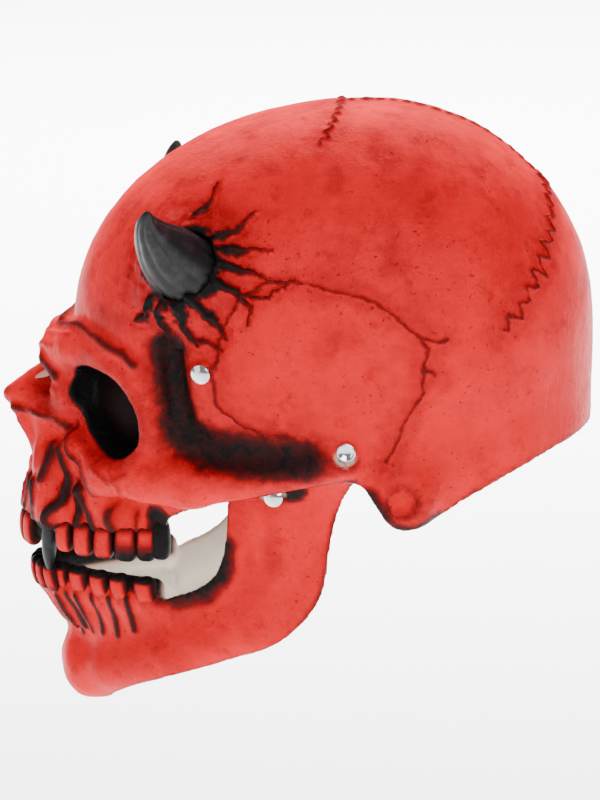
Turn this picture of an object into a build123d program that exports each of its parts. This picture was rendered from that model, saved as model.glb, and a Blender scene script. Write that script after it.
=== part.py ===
from build123d import *
from math import atan2, cos, degrees, exp, hypot, log, pi, sin, sqrt
import os

# A full-head skull mask in soft latex with a hinged lower jaw. Millimetres.
# The origin is the middle of the jaw's hinge line, between the wearer's ears.
# The face looks along -Y, the wearer's left is +X, and the crown is +Z.

# Skull shell
shell_wall = 3.0
crown_height = 141.5
dome_level = 45.0
temple_half_width = 85.0
hinge_half_width = 81.5
cheek_level = -20.0
cheek_half_width = 79.0
neck_level = -66.0
neck_half_width = 66.0
skull_middle = -10.0
forehead_reach = 123.0
occiput_reach = 108.0
muzzle_half_width = 48.6

# How far the face stands forward of the hinge line, by height
face_reach = [(-66, 80), (-40, 92), (-20, 108), (0, 119), (20, 124), (34, 127)]
muzzle_reach = [(-66, 145), (-53, 148), (-43, 149), (-30, 146), (-20, 141), (-10, 132), (0, 120), (12, 100)]

# Lower edge of the shell, (forward of the hinge, above the hinge), rear to front
neck_edge = [(-109, -1), (-92, -6), (-72, -14), (-53.5, -24), (-36.5, -34), (-27, -36.5), (-18.5, -34.5)]
ear_edge = [(-11.7, -24), (-4, -14.5), (22, -17.6)]
arch_edge = [(41.5, -22.6), (64, -28), (72, -33.7), (79, -37.4), (81, -52.7)]
upper_tooth_edge = -61.5

# Nose, a bony beak over an open aperture
nose_tip_reach = 156.0
nose_tip_height = 5.5
nose_root_reach = 112.0
nose_root_half_width = 17.0
nose_root_half_height = 22.0
nose_root_height = 1.0
nose_bridge_half_width = 9.5
nose_bridge_half_height = 16.0
nose_bridge_height = 3.5
nose_opening_half_width = 9.0
nose_opening_half_height = 14.0
nose_opening_height = -9.0
nose_opening_reach = 140.0

# Eye sockets
orbit_bearing = 24.0
orbit_facing = 40.0
orbit_height = 10.5
orbit_half_width = 24.5
orbit_half_height = 19.5
orbit_tilt = -12.0
orbit_rim = 2.5
orbit_depth = 14.0

# Mesh screens
screen_thickness = 0.8
screen_lap = 1.8

# Horns
horn_forward = 68.0
horn_level = 74.0
horn_base_radius = 14.5
horn_tip_radius = 0.9
horn_rise = 35.0
horn_lean = 16.0
horn_spread = 20.0
horn_seat_depth = 5.5
seat_clearance = 0.05

# Fangs
fang_side = 21.5
fang_root_level = -47.0
fang_tip_level = -70.8
fang_half_width = 4.2
fang_half_thickness = 3.6
fang_stand_off = 2.0

# Rivets
rivet_cap_radius = 4.4
rivet_cap_height = 1.8
rivet_post_radius = 1.6
hinge_post_radius = 2.2
post_clearance = 0.05
temple_rivet_forward = 62.0
temple_rivet_level = 33.5
jaw_rivet_forward = 31.7
jaw_rivet_level = -25.5
hinge_recess = 0.3
hinge_wall = 2.6
seat_margin = 0.6
elastic_lap = 2.0

# Lower jaw
jaw_wall = 3.0
jaw_middle = 20.0
jaw_half_width = 66.0
chin_half_width = 60.0
jaw_squareness = 1.8
chin_reach = [(-128, 122), (-121.5, 128.5), (-114, 130), (-105, 128), (-99, 130), (-90.6, 135.5), (-79, 140.6), (-66, 143.5)]
lower_tooth_edge = -66.3
jaw_rear = [(38, -97), (25, -90), (13.5, -77), (8.8, -65.4), (7, -48), (4, -33), (-1.5, -20)]
jaw_under = [(121, -128), (110, -128), (103.6, -124), (94, -118), (78, -111), (61, -105), (48, -99.7)]
jaw_top = [(54, -27), (54.5, -45), (55.5, -55), (58.6, -64), (66, -69.5), (74.5, -73), (81, -70.5), (85, -66.3)]
ear_radius = 11.0
ear_gap = 0.9

# Jaw return elastics
elastic_width = 8.0
elastic_thickness = 1.2
elastic_gap = 0.1

# Padding
glue_gap = 0.3
pad_thickness = 12.0
brow_pad_half_width = 48.0
brow_pad_level = 52.0
pad_height = 30.0
crown_pad_radius = 44.0
side_pad_rear = 52.0
side_pad_front = 8.0
side_pad_level = 36.0
nape_pad_half_width = 38.0
nape_pad_level = 46.0
chin_pad_half_width = 26.0
chin_pad_bottom = -121.0
chin_pad_top = -96.0
chin_pad_thickness = 9.0

# Head strap at the back of the neck opening
strap_width = 20.0
strap_thickness = 1.4
strap_level = 7.0
strap_front = 24.0
anchor_thickness = 5.0
anchor_length = 20.0


def between(level, rows):
    # A straight line from each row to the next, level past the ends
    if level <= rows[0][0]:
        return rows[0][1]
    for (low, first), (high, second) in zip(rows, rows[1:]):
        if level <= high:
            return first + (second - first) * (level - low) / (high - low)
    return rows[-1][1]


def superellipse(angle, width, length, power):
    return (abs(sin(angle) / width) ** power + abs(cos(angle) / length) ** power) ** (-1 / power)


def soft_max(first, second, blend):
    top = max(first, second)
    return top + blend * log(exp((first - top) / blend) + exp((second - top) / blend))


def ramp(value, centre, spread):
    return 1 / (1 + exp(-(value - centre) / spread))


def dome_fraction(level):
    rise = (level - dome_level) / (crown_height - dome_level)
    return sqrt(max(0.0, 1 - rise * rise)) if rise > 0 else 1.0


def skull_section(level):
    # Middle, half width, reach forward, reach back and squareness at one height
    side_rows = [(neck_level, neck_half_width), (-40, (neck_half_width + cheek_half_width) / 2 + 1.5),
                 (cheek_level, cheek_half_width), (0, hinge_half_width), (20, temple_half_width - 1),
                 (dome_level, temple_half_width)]
    if level <= dome_level:
        forward = between(level, face_reach + [(dome_level, forehead_reach)])
        rear = between(level, [(neck_level, occiput_reach - 8), (-40, occiput_reach - 3), (-20, occiput_reach)])
        power = between(level, [(neck_level, 2.0), (-20, 2.3), (0, 2.7), (30, 2.6), (dome_level, 2.4)])
        return skull_middle, between(level, side_rows), forward + skull_middle, rear - skull_middle, power
    part = dome_fraction(level)
    shift = 18 * (1 - part)
    forward = (forehead_reach + 8) * part - 18 * part
    rear = (occiput_reach - 8) * part + 18 * part
    return skull_middle + shift, temple_half_width * part ** 0.9, forward, rear, 2.4 - 0.4 * (1 - part)


def skull_radius(angle, level):
    # Distance from the section's middle to the skin, angle 0 at the face
    middle, width, forward, rear, power = skull_section(level)
    ahead = cos(angle) > 0
    radius = superellipse(angle, width, forward if ahead else rear, power if ahead else 2.2)
    if level < 12 and ahead:
        muzzle = superellipse(angle, muzzle_half_width, between(level, muzzle_reach) + skull_middle, 2.1)
        radius = soft_max(radius, muzzle, 3)
    bearing = degrees(angle) % 360
    bearing = min(bearing, 360 - bearing)
    # Cheekbone and arch, temple hollow, then the brow ridge
    arch = exp(-((level + 14 - 0.1 * (bearing - 40)) / 9) ** 2)
    radius += 6 * arch * ramp(bearing, 34, 4) * ramp(-bearing, -96, 5)
    radius -= 5 * exp(-((level - 14) / 14) ** 2 - ((bearing - 52) / 13) ** 2)
    radius += 4 * exp(-((level - 33) / 8) ** 2 - ((bearing - 22) / 16) ** 2)
    return middle, radius


def skull_point(angle, level, inset=0.0):
    middle, radius = skull_radius(angle, level)
    return Vector((radius - inset) * sin(angle), middle - (radius - inset) * cos(angle), level)


def skull_form(inset):
    # The closed shape of the head, inset by a wall or a pad
    lower = [neck_level + 8 * step for step in range(0, 14)]
    upper = [dome_level + (crown_height - dome_level) * part for part in
             (0.03, 0.15, 0.28, 0.4, 0.52, 0.635, 0.725, 0.81, 0.88, 0.935, 0.97, 0.993)]
    faces = []
    for level in lower + upper:
        drop = inset * max(level, 0) / crown_height
        margin = inset * max(0.2, dome_fraction(level))
        ring = [skull_point(2 * pi * step / 48, level, margin) for step in range(48)]
        with BuildSketch(Plane.XY.offset(level - drop)) as sketch:
            with BuildLine():
                Spline(*[(point.X, point.Y) for point in ring], periodic=True)
            make_face()
        faces.append(sketch.sketch.face())
    return loft(faces)


def skull_place(forward, level, inset=0.0):
    # Point on the left of the skin at a given reach and height, and the way it faces
    low, high = 0.02, pi - 0.02
    for _ in range(40):
        angle = (low + high) / 2
        if skull_point(angle, level).Y < -forward:
            low = angle
        else:
            high = angle
    along = skull_point(angle + 0.02, level) - skull_point(angle - 0.02, level)
    up = skull_point(angle, level + 1.5) - skull_point(angle, level - 1.5)
    facing = along.cross(up).normalized()
    if facing.X < 0:
        facing = facing * -1
    return skull_point(angle, level) - facing * inset, facing


def side_cut(points):
    # Everything inside an outline seen from the side, right through the width
    with BuildSketch(Plane.YZ) as sketch:
        with BuildLine():
            Polyline(*[(-forward, level) for forward, level in points], close=True)
        make_face()
    return extrude(sketch.sketch, 2 * temple_half_width, both=True)


def slab(size, centre):
    return Pos(*centre) * Box(*size)


def rod(start, facing, low, high, radius):
    # A cylinder along a direction, from low to high past the start
    base = start + facing * low
    return extrude(Plane(origin=base, z_dir=facing) * Circle(radius), high - low)


def other_side(piece):
    return mirror(piece, about=Plane.YZ)


def nose_form(inset):
    root = Plane(origin=(0, -nose_root_reach, nose_root_height), x_dir=(1, 0, 0), z_dir=(0, -1, 0))
    middle_reach = (nose_root_reach + nose_tip_reach) / 2 + 4
    middle = Plane(origin=(0, -middle_reach, nose_bridge_height), x_dir=(1, 0, 0), z_dir=(0, -1, 0))
    tip = Plane(origin=(0, inset - nose_tip_reach, nose_tip_height), x_dir=(1, 0, 0), z_dir=(0, -1, 0))
    wide = root * Ellipse(nose_root_half_width - inset, nose_root_half_height - inset)
    waist = middle * Ellipse(nose_bridge_half_width - inset, nose_bridge_half_height - inset)
    point = tip * Ellipse(1.6, 2.2)
    return loft([wide.face(), waist.face(), point.face()])


def orbit_plane():
    bearing = orbit_bearing * pi / 180
    facing = orbit_facing * pi / 180
    centre = skull_point(bearing, orbit_height)
    outward = Vector(sin(facing), -cos(facing), 0)
    across = Vector(cos(facing), sin(facing), 0)
    return Plane(origin=centre, x_dir=across, z_dir=outward)


def orbit_prism(grow, low, high):
    outline = Rot(0, 0, orbit_tilt) * Ellipse(orbit_half_width + grow, orbit_half_height + grow)
    return extrude(orbit_plane().offset(low) * outline, high - low)


def horn_route():
    base, facing = skull_place(horn_forward, horn_level)
    bend = base + facing * 0.62 * hypot(horn_spread, horn_rise)
    tip = base + Vector(horn_spread, -horn_lean, horn_rise)
    return base, facing, bend, tip


def horn():
    base, facing, bend, tip = horn_route()
    sections = [Plane(origin=base + facing * 1.5, z_dir=facing) * Circle(horn_base_radius)]
    for part in (0.2, 0.4, 0.6, 0.8, 0.97):
        centre = base * (1 - part) ** 2 + bend * 2 * part * (1 - part) + tip * part ** 2
        heading = (bend - base) * (1 - part) + (tip - bend) * part
        radius = horn_tip_radius + (horn_base_radius - horn_tip_radius) * (1 - part) ** 0.85
        sections.append(Plane(origin=centre + facing * 1.5 * (1 - part), z_dir=heading) * Circle(radius))
    spike = loft([section.face() for section in sections])
    return spike + rod(base, facing, -horn_seat_depth, 1.5, horn_base_radius)


def horn_seat():
    base, facing, bend, tip = horn_route()
    return rod(base, facing, -2 * horn_seat_depth, 12, horn_base_radius + seat_clearance)


def fang_centre(level):
    middle = skull_middle
    reach = between(level, muzzle_reach) + skull_middle
    share = max(0.05, 1 - (fang_side / muzzle_half_width) ** 2.1) ** (1 / 2.1)
    return Vector(fang_side, middle - reach * share - fang_stand_off + shell_wall / 2, level)


def fang(grow=0.0):
    root = fang_centre(upper_tooth_edge)
    sections = []
    for part, share in ((0, 1), (0.45, 0.94), (0.8, 0.55), (0.98, 0.12)):
        level = fang_root_level + (fang_tip_level - fang_root_level) * part
        plane = Plane.XY.offset(level).move(Location((root.X, root.Y, 0)))
        outline = Rot(0, 0, 20) * Ellipse(fang_half_width * share + grow, fang_half_thickness * share + grow)
        sections.append((plane * outline).face())
    return loft(sections)


def skull_shell():
    closed = skull_form(0) + nose_form(0)
    hollow = skull_form(shell_wall) + nose_form(shell_wall)
    cup = orbit_prism(orbit_rim, -orbit_depth, 30)
    shell = closed - (hollow - cup - other_side(cup))
    below = [(-135, -1)] + neck_edge + ear_edge + arch_edge
    below += [(83.5, upper_tooth_edge + 1), (90, upper_tooth_edge), (170, upper_tooth_edge), (170, -90), (-135, -90)]
    shell -= side_cut(below)
    eye = orbit_prism(0, -orbit_depth - 1, 30)
    shell -= eye
    shell -= other_side(eye)
    shell -= nose_opening()
    for tool in [horn_seat(), fang(seat_clearance)] + shell_rivet_seats():
        shell -= tool
        shell -= other_side(tool)
    return largest(shell)


def largest(piece):
    return sorted(piece.solids(), key=lambda solid: solid.volume)[-1]


def nose_plane():
    return Plane(origin=(0, -nose_opening_reach, nose_opening_height), x_dir=(1, 0, 0), z_dir=(0, -1, -0.35))


def nose_opening():
    outline = nose_plane() * Ellipse(nose_opening_half_width, nose_opening_half_height)
    return extrude(outline, 14, both=True)


def nose_screen():
    # A disc of mesh behind the aperture, cut to the inside of the shell
    disc = nose_plane().offset(-9) * Ellipse(nose_opening_half_width + 4, nose_opening_half_height + 4)
    inner = skull_form(shell_wall + glue_gap) + nose_form(shell_wall + glue_gap)
    return largest(extrude(disc, screen_thickness) & inner)


def rivet_front(place, facing, wall, post_radius):
    # A hole for the post, with a flat for the cap outside
    hole = rod(place, facing, -wall - 8, 8, post_radius + post_clearance)
    return [hole, rod(place, facing, 0, 8, rivet_cap_radius + seat_margin)]


def rivet_seat(place, facing, wall, post_radius, back_radius):
    # The same with a second flat, for what lies against the inside
    back = rod(place, facing, -wall - 8, -wall, back_radius + seat_margin)
    return rivet_front(place, facing, wall, post_radius) + [back]


def temple_place():
    return skull_place(temple_rivet_forward, temple_rivet_level)


def hinge_place():
    return Vector(skull_place(0, 0)[0].X - hinge_recess, 0, 0), Vector(1, 0, 0)


def shell_rivet_seats():
    temple, temple_facing = temple_place()
    hinge, hinge_facing = hinge_place()
    return (rivet_seat(temple, temple_facing, shell_wall, rivet_post_radius, tab_radius()) +
            rivet_front(hinge, hinge_facing, hinge_wall, hinge_post_radius))


def tab_radius():
    return rivet_cap_radius + elastic_lap


def rivet(place, facing, grip, post_radius):
    # A domed cap with its post, which runs through the grip into the back cap
    cap = Plane(origin=place, z_dir=facing)
    dome = extrude(cap * Circle(rivet_cap_radius), rivet_cap_height)
    dome = fillet(dome.faces().sort_by(Axis(place, facing))[-1].edges(), rivet_cap_height * 0.8)
    return dome + rod(place, facing, -grip - rivet_cap_height * 0.7, 0, post_radius)


def back_cap(place, facing, grip, post_radius):
    cap = Plane(origin=place - facing * grip, z_dir=facing * -1)
    dome = extrude(cap * Circle(rivet_cap_radius), rivet_cap_height)
    dome = fillet(dome.faces().sort_by(Axis(place, facing * -1))[-1].edges(), rivet_cap_height * 0.5)
    return dome - rod(place, facing, -grip - rivet_cap_height * 0.7, 0, post_radius)


def elastic_stack(wall):
    return wall + elastic_thickness + elastic_gap


def jaw_section(level):
    # Half width and reach forward of the jaw at one height
    ear = ear_plane_x()
    rows = [(-128, chin_half_width), (-100, jaw_half_width - 1), (-60, jaw_half_width),
            (-24, jaw_half_width), (-9, ear), (14, ear)]
    return between(level, rows), between(level, chin_reach) + jaw_middle


def jaw_form(inset):
    faces = []
    for level in (-128, -121, -114, -107, -100, -92, -84, -75, -66, -56, -46, -36, -28, -22, -15, -9, 0, 13):
        width, reach = jaw_section(level)
        ring = []
        for step in range(48):
            angle = 2 * pi * step / 48
            length = reach if cos(angle) > 0 else 40
            power = jaw_squareness if cos(angle) > 0 else 2.2
            radius = superellipse(angle, width, length, power) - inset
            ring.append((radius * sin(angle), jaw_middle - radius * cos(angle)))
        with BuildSketch(Plane.XY.offset(level)) as sketch:
            with BuildLine():
                Spline(*ring, periodic=True)
            make_face()
        faces.append(sketch.sketch.face())
    return loft(faces)


def ear_plane_x():
    # Outer face of the jaw's ear, clear of the skull's wall all round the hinge
    reach = [skull_place((ear_radius + 2) * cos(turn), (ear_radius + 2) * sin(turn))[0].X
             for turn in (0, pi / 2, pi, 3 * pi / 2)]
    return min(min(reach) - shell_wall, hinge_place()[0].X - hinge_wall) - ear_gap


def jaw_outline():
    ear = [(ear_radius * cos(pi * step / 10), ear_radius * sin(pi * step / 10)) for step in range(10, 1, -1)]
    lower = [(170, lower_tooth_edge), (170, -128)]
    return jaw_under + jaw_rear + ear + [(40, -12)] + jaw_top + lower


def jaw_shell():
    jaw = (jaw_form(0) - jaw_form(jaw_wall)) & side_cut(jaw_outline())
    side = Vector(1, 0, 0)
    ear_face = Vector(ear_plane_x(), 0, 0)
    ear = rod(ear_face, side, -jaw_wall, 0, ear_radius)
    trim = rod(ear_face, side, 0, 20, ear_radius + 6)
    place, facing = jaw_rivet_place()
    seats = (rivet_seat(place, facing, jaw_wall, rivet_post_radius, tab_radius()) +
             rivet_seat(ear_face, side, jaw_wall, hinge_post_radius, rivet_cap_radius))
    for piece in (ear, other_side(ear)):
        jaw += piece
    for tool in [trim] + seats:
        jaw -= tool
        jaw -= other_side(tool)
    return largest(jaw)


def jaw_surface(forward, level):
    width, reach = jaw_section(level)
    share = max(0.0, (forward + jaw_middle) / reach)
    return Vector(width * (1 - share ** jaw_squareness) ** (1 / jaw_squareness), -forward, level)


def jaw_rivet_place():
    place = jaw_surface(jaw_rivet_forward, jaw_rivet_level)
    along = jaw_surface(jaw_rivet_forward - 2, jaw_rivet_level) - jaw_surface(jaw_rivet_forward + 2, jaw_rivet_level)
    facing = Vector(along.Y, -along.X, 0).normalized()
    return place, facing


def jaw_elastic():
    # A flat elastic with an eyed tab under each back cap
    temple, temple_facing = temple_place()
    jaw, jaw_facing = jaw_rivet_place()
    upper = temple - temple_facing * (shell_wall + elastic_thickness / 2)
    lower = jaw - jaw_facing * (jaw_wall + elastic_thickness / 2)
    half = elastic_thickness / 2
    strap = rod(upper, temple_facing, -half, half, tab_radius()) + rod(lower, jaw_facing, -half, half, tab_radius())
    ends = []
    for place, facing, far in ((upper, temple_facing, lower), (lower, jaw_facing, upper)):
        run = far - place
        run = (run - facing * run.dot(facing)).normalized()
        ends.append((place + run * (rivet_cap_radius + elastic_lap / 2), facing))
    heading = ends[1][0] - ends[0][0]
    outline = Rectangle(elastic_width, elastic_thickness)
    faces = [(Plane(origin=place, x_dir=facing.cross(heading), z_dir=heading) * outline).face()
             for place, facing in ends]
    strap += loft(faces)
    strap -= rod(temple, temple_facing, -12, 0, rivet_post_radius + post_clearance)
    return strap - rod(jaw, jaw_facing, -12, 0, rivet_post_radius + post_clearance)


def lining(region, thickness, start=shell_wall + glue_gap):
    # A layer against the inside of the shell, cut to a region
    return largest((region & skull_form(start)) - skull_form(start + thickness))


def brow_pad():
    reach = forehead_reach + 20
    return lining(slab((2 * brow_pad_half_width, reach, pad_height), (0, -reach / 2 - 30, brow_pad_level)), pad_thickness)


def crown_pad():
    return lining(Pos(0, 4, crown_height - 40) * Cylinder(crown_pad_radius, 90), pad_thickness)


def side_pad():
    length = side_pad_rear - side_pad_front
    centre = (temple_half_width, side_pad_front + length / 2, side_pad_level)
    return lining(slab((2 * temple_half_width - 20, length, pad_height + 6), centre), pad_thickness)


def nape_pad():
    reach = occiput_reach
    return lining(slab((2 * nape_pad_half_width, reach, pad_height), (0, reach / 2 + 30, nape_pad_level)), pad_thickness)


def head_strap():
    region = slab((4 * temple_half_width, occiput_reach, strap_width), (0, strap_front + occiput_reach / 2, strap_level))
    start = shell_wall + glue_gap + anchor_thickness
    return lining(region, strap_thickness, start)


def strap_anchor():
    centre = (temple_half_width, strap_front + anchor_length / 2, strap_level)
    region = slab((2 * temple_half_width - 20, anchor_length, strap_width - 4), centre)
    return lining(region, anchor_thickness)


def chin_pad():
    height = chin_pad_top - chin_pad_bottom
    region = slab((2 * chin_pad_half_width, 80, height), (0, -130, chin_pad_bottom + height / 2))
    pad = (region & jaw_form(jaw_wall + glue_gap)) - jaw_form(jaw_wall + glue_gap + chin_pad_thickness)
    return largest(pad)


def eye_screen():
    # Mesh across the back of the socket, kept inside the shell
    plate = orbit_prism(screen_lap, -orbit_depth - screen_thickness, -orbit_depth)
    return largest(plate & skull_form(shell_wall + glue_gap))


def save(name, piece):
    piece.label = name
    export_step(piece, f"parts/{name}.step")
    print(name, round(piece.volume), "mm3", len(piece.solids()), "solids", piece.is_valid)


def save_pair(name, piece):
    save(name + "_left", piece)
    save(name + "_right", other_side(piece))


def main():
    os.makedirs("parts", exist_ok=True)
    temple, temple_facing = temple_place()
    hinge, side = hinge_place()
    jaw, jaw_facing = jaw_rivet_place()
    temple_grip = elastic_stack(shell_wall)
    jaw_grip = elastic_stack(jaw_wall)
    hinge_grip = hinge.X - ear_plane_x() + jaw_wall + elastic_gap
    save("skull_shell", skull_shell())
    save("jaw_shell", jaw_shell())
    save_pair("horn", horn())
    save_pair("fang", fang())
    save_pair("eye_screen", eye_screen())
    save("nose_screen", nose_screen())
    save_pair("temple_rivet", rivet(temple, temple_facing, temple_grip, rivet_post_radius))
    save_pair("temple_cap", back_cap(temple, temple_facing, temple_grip, rivet_post_radius))
    save_pair("hinge_rivet", rivet(hinge, side, hinge_grip, hinge_post_radius))
    save_pair("hinge_cap", back_cap(hinge, side, hinge_grip, hinge_post_radius))
    save_pair("jaw_rivet", rivet(jaw, jaw_facing, jaw_grip, rivet_post_radius))
    save_pair("jaw_cap", back_cap(jaw, jaw_facing, jaw_grip, rivet_post_radius))
    save_pair("jaw_elastic", jaw_elastic())
    save("brow_pad", brow_pad())
    save("crown_pad", crown_pad())
    save_pair("side_pad", side_pad())
    save("nape_pad", nape_pad())
    save("chin_pad", chin_pad())
    save("head_strap", head_strap())
    save_pair("strap_anchor", strap_anchor())


main()
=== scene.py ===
import bmesh
import bpy
import math
import numpy as np
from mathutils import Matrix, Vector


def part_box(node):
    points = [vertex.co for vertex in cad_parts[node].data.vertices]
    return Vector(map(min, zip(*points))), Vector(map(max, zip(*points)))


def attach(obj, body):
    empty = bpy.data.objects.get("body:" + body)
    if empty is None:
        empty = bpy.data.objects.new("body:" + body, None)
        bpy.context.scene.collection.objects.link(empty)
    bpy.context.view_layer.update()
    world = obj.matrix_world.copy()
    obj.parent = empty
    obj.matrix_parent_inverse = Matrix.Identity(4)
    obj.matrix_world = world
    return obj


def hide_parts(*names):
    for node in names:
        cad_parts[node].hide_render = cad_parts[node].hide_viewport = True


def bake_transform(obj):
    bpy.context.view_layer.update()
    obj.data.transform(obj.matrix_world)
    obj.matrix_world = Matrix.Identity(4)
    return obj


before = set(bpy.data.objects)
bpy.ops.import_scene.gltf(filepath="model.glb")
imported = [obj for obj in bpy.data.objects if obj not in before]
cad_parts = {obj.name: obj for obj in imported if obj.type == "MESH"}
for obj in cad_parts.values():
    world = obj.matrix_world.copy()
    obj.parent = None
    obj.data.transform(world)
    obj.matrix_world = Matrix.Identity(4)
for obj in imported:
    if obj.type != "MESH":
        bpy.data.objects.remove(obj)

import openvdb
from mathutils import Matrix, Vector, noise

noise.seed_set(7)    # lines wander the same way on every run

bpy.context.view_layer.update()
mm = 0.001    # shapes are written in millimetres, meshes hold metres


def smoothMin(a, b, k):
    h = np.maximum(k - np.abs(a - b), 0) / k
    return np.minimum(a, b) - h * h * k * 0.25


def smoothMax(a, b, k):
    return -smoothMin(-a, -b, k)


def smoothStep(low, high, value):
    t = np.clip((value - low) / (high - low), 0, 1)
    return t * t * (3 - 2 * t)


def softTable(rows, spread=4.0):
    # a profile given by a few rows, read at any height with its corners rounded
    keys = np.array([r[0] for r in rows], float)
    values = np.array([r[1] for r in rows], float)
    fine = np.arange(-170, 200, 1.0)
    line = np.interp(fine, keys, values)
    kernel = np.exp(-0.5 * (np.arange(-20, 21) / spread) ** 2)
    line = np.convolve(np.pad(line, 20, mode="edge"), kernel / kernel.sum(), mode="valid")
    return lambda z: np.interp(z, fine, line)


def ball(centre, radii, turn=(0, 0, 0)):
    # an egg of clay, turned about X, Y, Z in degrees
    matrix = Matrix.Rotation(math.radians(turn[2]), 3, "Z") @ Matrix.Rotation(math.radians(turn[1]), 3, "Y") \
        @ Matrix.Rotation(math.radians(turn[0]), 3, "X")
    rows = np.array(matrix.transposed())
    c, r = np.array(centre, float), np.array(radii, float)

    def shape(x, y, z):
        x, y, z = x - c[0], y - c[1], z - c[2]
        u = (rows[0][0] * x + rows[0][1] * y + rows[0][2] * z) / r[0]
        v = (rows[1][0] * x + rows[1][1] * y + rows[1][2] * z) / r[1]
        w = (rows[2][0] * x + rows[2][1] * y + rows[2][2] * z) / r[2]
        k0 = np.sqrt(u * u + v * v + w * w) + 1e-6
        k1 = np.sqrt((u / r[0]) ** 2 + (v / r[1]) ** 2 + (w / r[2]) ** 2) + 1e-6
        return k0 * (k0 - 1) / k1
    reach = max(radii)
    return shape, c - reach, c + reach


def roll(points, radii):
    # a roll of clay through points, thick as the radii say
    pts = [np.array(p, float) for p in points]
    radii = list(radii) if hasattr(radii, "__len__") else [radii] * len(pts)

    def shape(x, y, z):
        best = None
        for p, q, rp, rq in zip(pts, pts[1:], radii, radii[1:]):
            d = q - p
            t = np.clip(((x - p[0]) * d[0] + (y - p[1]) * d[1] + (z - p[2]) * d[2]) / d.dot(d), 0, 1)
            away = np.sqrt((x - p[0] - t * d[0]) ** 2 + (y - p[1] - t * d[1]) ** 2 + (z - p[2] - t * d[2]) ** 2)
            away = away - (rp + (rq - rp) * t)
            best = away if best is None else np.minimum(best, away)
        return best
    low, high = np.min(pts, 0) - max(radii), np.max(pts, 0) + max(radii)
    return shape, low, high


def plug(place, facing, low, high, radius):
    # a round plug along a direction
    p, f = np.array(place, float), np.array(facing, float)

    def shape(x, y, z):
        along = (x - p[0]) * f[0] + (y - p[1]) * f[1] + (z - p[2]) * f[2]
        square = (x - p[0]) ** 2 + (y - p[1]) ** 2 + (z - p[2]) ** 2 - along ** 2
        return np.maximum(np.sqrt(np.maximum(square, 0)) - radius, np.maximum(low - along, along - high))
    ends = np.array([p + f * low, p + f * high])
    return shape, ends.min(0) - radius, ends.max(0) + radius


def rounded(points, rounds=2):
    # corners of a closed outline cut off, again and again
    for _ in range(rounds):
        cut = []
        for p, q in zip(points, points[1:] + points[:1]):
            cut += [(p[0] * 0.75 + q[0] * 0.25, p[1] * 0.75 + q[1] * 0.25),
                    (p[0] * 0.25 + q[0] * 0.75, p[1] * 0.25 + q[1] * 0.75)]
        points = cut
    return points


def outlineDistance(points, y, z):
    # distance to a closed outline seen from the side, negative inside
    best = np.full(np.broadcast(y, z).shape, 1e9)
    inside = np.zeros(best.shape, bool)
    for (ay, az), (by, bz) in zip(points, points[1:] + points[:1]):
        ey, ez = by - ay, bz - az
        t = np.clip(((y - ay) * ey + (z - az) * ez) / (ey * ey + ez * ez), 0, 1)
        best = np.minimum(best, (y - ay - ey * t) ** 2 + (z - az - ez * t) ** 2)
        crosses = ((az > z) != (bz > z)) & (y < ey * (z - az) / (ez if ez else 1e-9) + ay)
        inside ^= crosses
    return np.where(inside, -1, 1) * np.sqrt(best)


def largestIsland(mesh):
    bm = bmesh.new()
    bm.from_mesh(mesh)
    groups, seen = [], set()
    for first in bm.verts:
        if first in seen:
            continue
        group, todo = [], [first]
        seen.add(first)
        while todo:
            v = todo.pop()
            group.append(v)
            for e in v.link_edges:
                other = e.other_vert(v)
                if other not in seen:
                    seen.add(other)
                    todo.append(other)
        groups.append(group)
    keep = max(groups, key=len)
    bmesh.ops.delete(bm, geom=[v for g in groups if g is not keep for v in g], context="VERTS")
    bm.to_mesh(mesh)
    bm.free()
    return mesh


class Clay:
    def __init__(self, low, high, step):
        self.step = step
        self.axes = [np.arange(low[k], high[k], step) + (step / 2 if k == 0 else 0) for k in range(3)]
        self.field = np.full([len(a) for a in self.axes], 60.0)

    def window(self, low, high, margin):
        spans = tuple(slice(max(0, int(np.searchsorted(a, l - margin))), int(np.searchsorted(a, h + margin)))
                      for a, l, h in zip(self.axes, low, high))
        return spans, np.ix_(*[a[s] for a, s in zip(self.axes, spans)])

    def everywhere(self):
        return np.ix_(*self.axes)

    def add(self, piece, blend=6.0):
        shape, low, high = piece
        spans, xyz = self.window(low, high, blend + 6)
        self.field[spans] = smoothMin(self.field[spans], shape(*xyz), blend)

    def cut(self, piece, blend=6.0):
        shape, low, high = piece
        spans, xyz = self.window(low, high, blend + 6)
        self.field[spans] = smoothMax(self.field[spans], -shape(*xyz), blend)

    def read(self, points):
        # the distance at any points, in millimetres
        x = np.abs(points[:, 0])
        index = [np.clip((c - a[0]) / self.step, 0, len(a) - 1.001)
                 for c, a in zip((x, points[:, 1], points[:, 2]), self.axes)]
        base = [i.astype(int) for i in index]
        part = [i - b for i, b in zip(index, base)]
        total = 0
        for dx in (0, 1):
            for dy in (0, 1):
                for dz in (0, 1):
                    weight = (part[0] if dx else 1 - part[0]) * (part[1] if dy else 1 - part[1]) \
                        * (part[2] if dz else 1 - part[2])
                    total = total + weight * self.field[base[0] + dx, base[1] + dy, base[2] + dz]
        return total

    def cast(self, name, field):
        # both halves as one closed skin
        full = np.concatenate([field[::-1], field], 0).astype(np.float32)
        full = np.pad(np.clip(full, -8, 8), 1, constant_values=8)
        grid = openvdb.FloatGrid(8.0)
        grid.copyFromArray(full)
        points, quads = grid.convertToQuads(0.0)
        halves = len(self.axes[0])
        start = np.array([-self.axes[0][0] - (halves - 1) * self.step, self.axes[1][0], self.axes[2][0]])
        points = (np.asarray(points, float) - 1) * self.step + start
        mesh = bpy.data.meshes.new(name)
        mesh.from_pydata((points * mm).tolist(), [], np.asarray(quads)[:, ::-1].tolist())
        return largestIsland(mesh)


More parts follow.
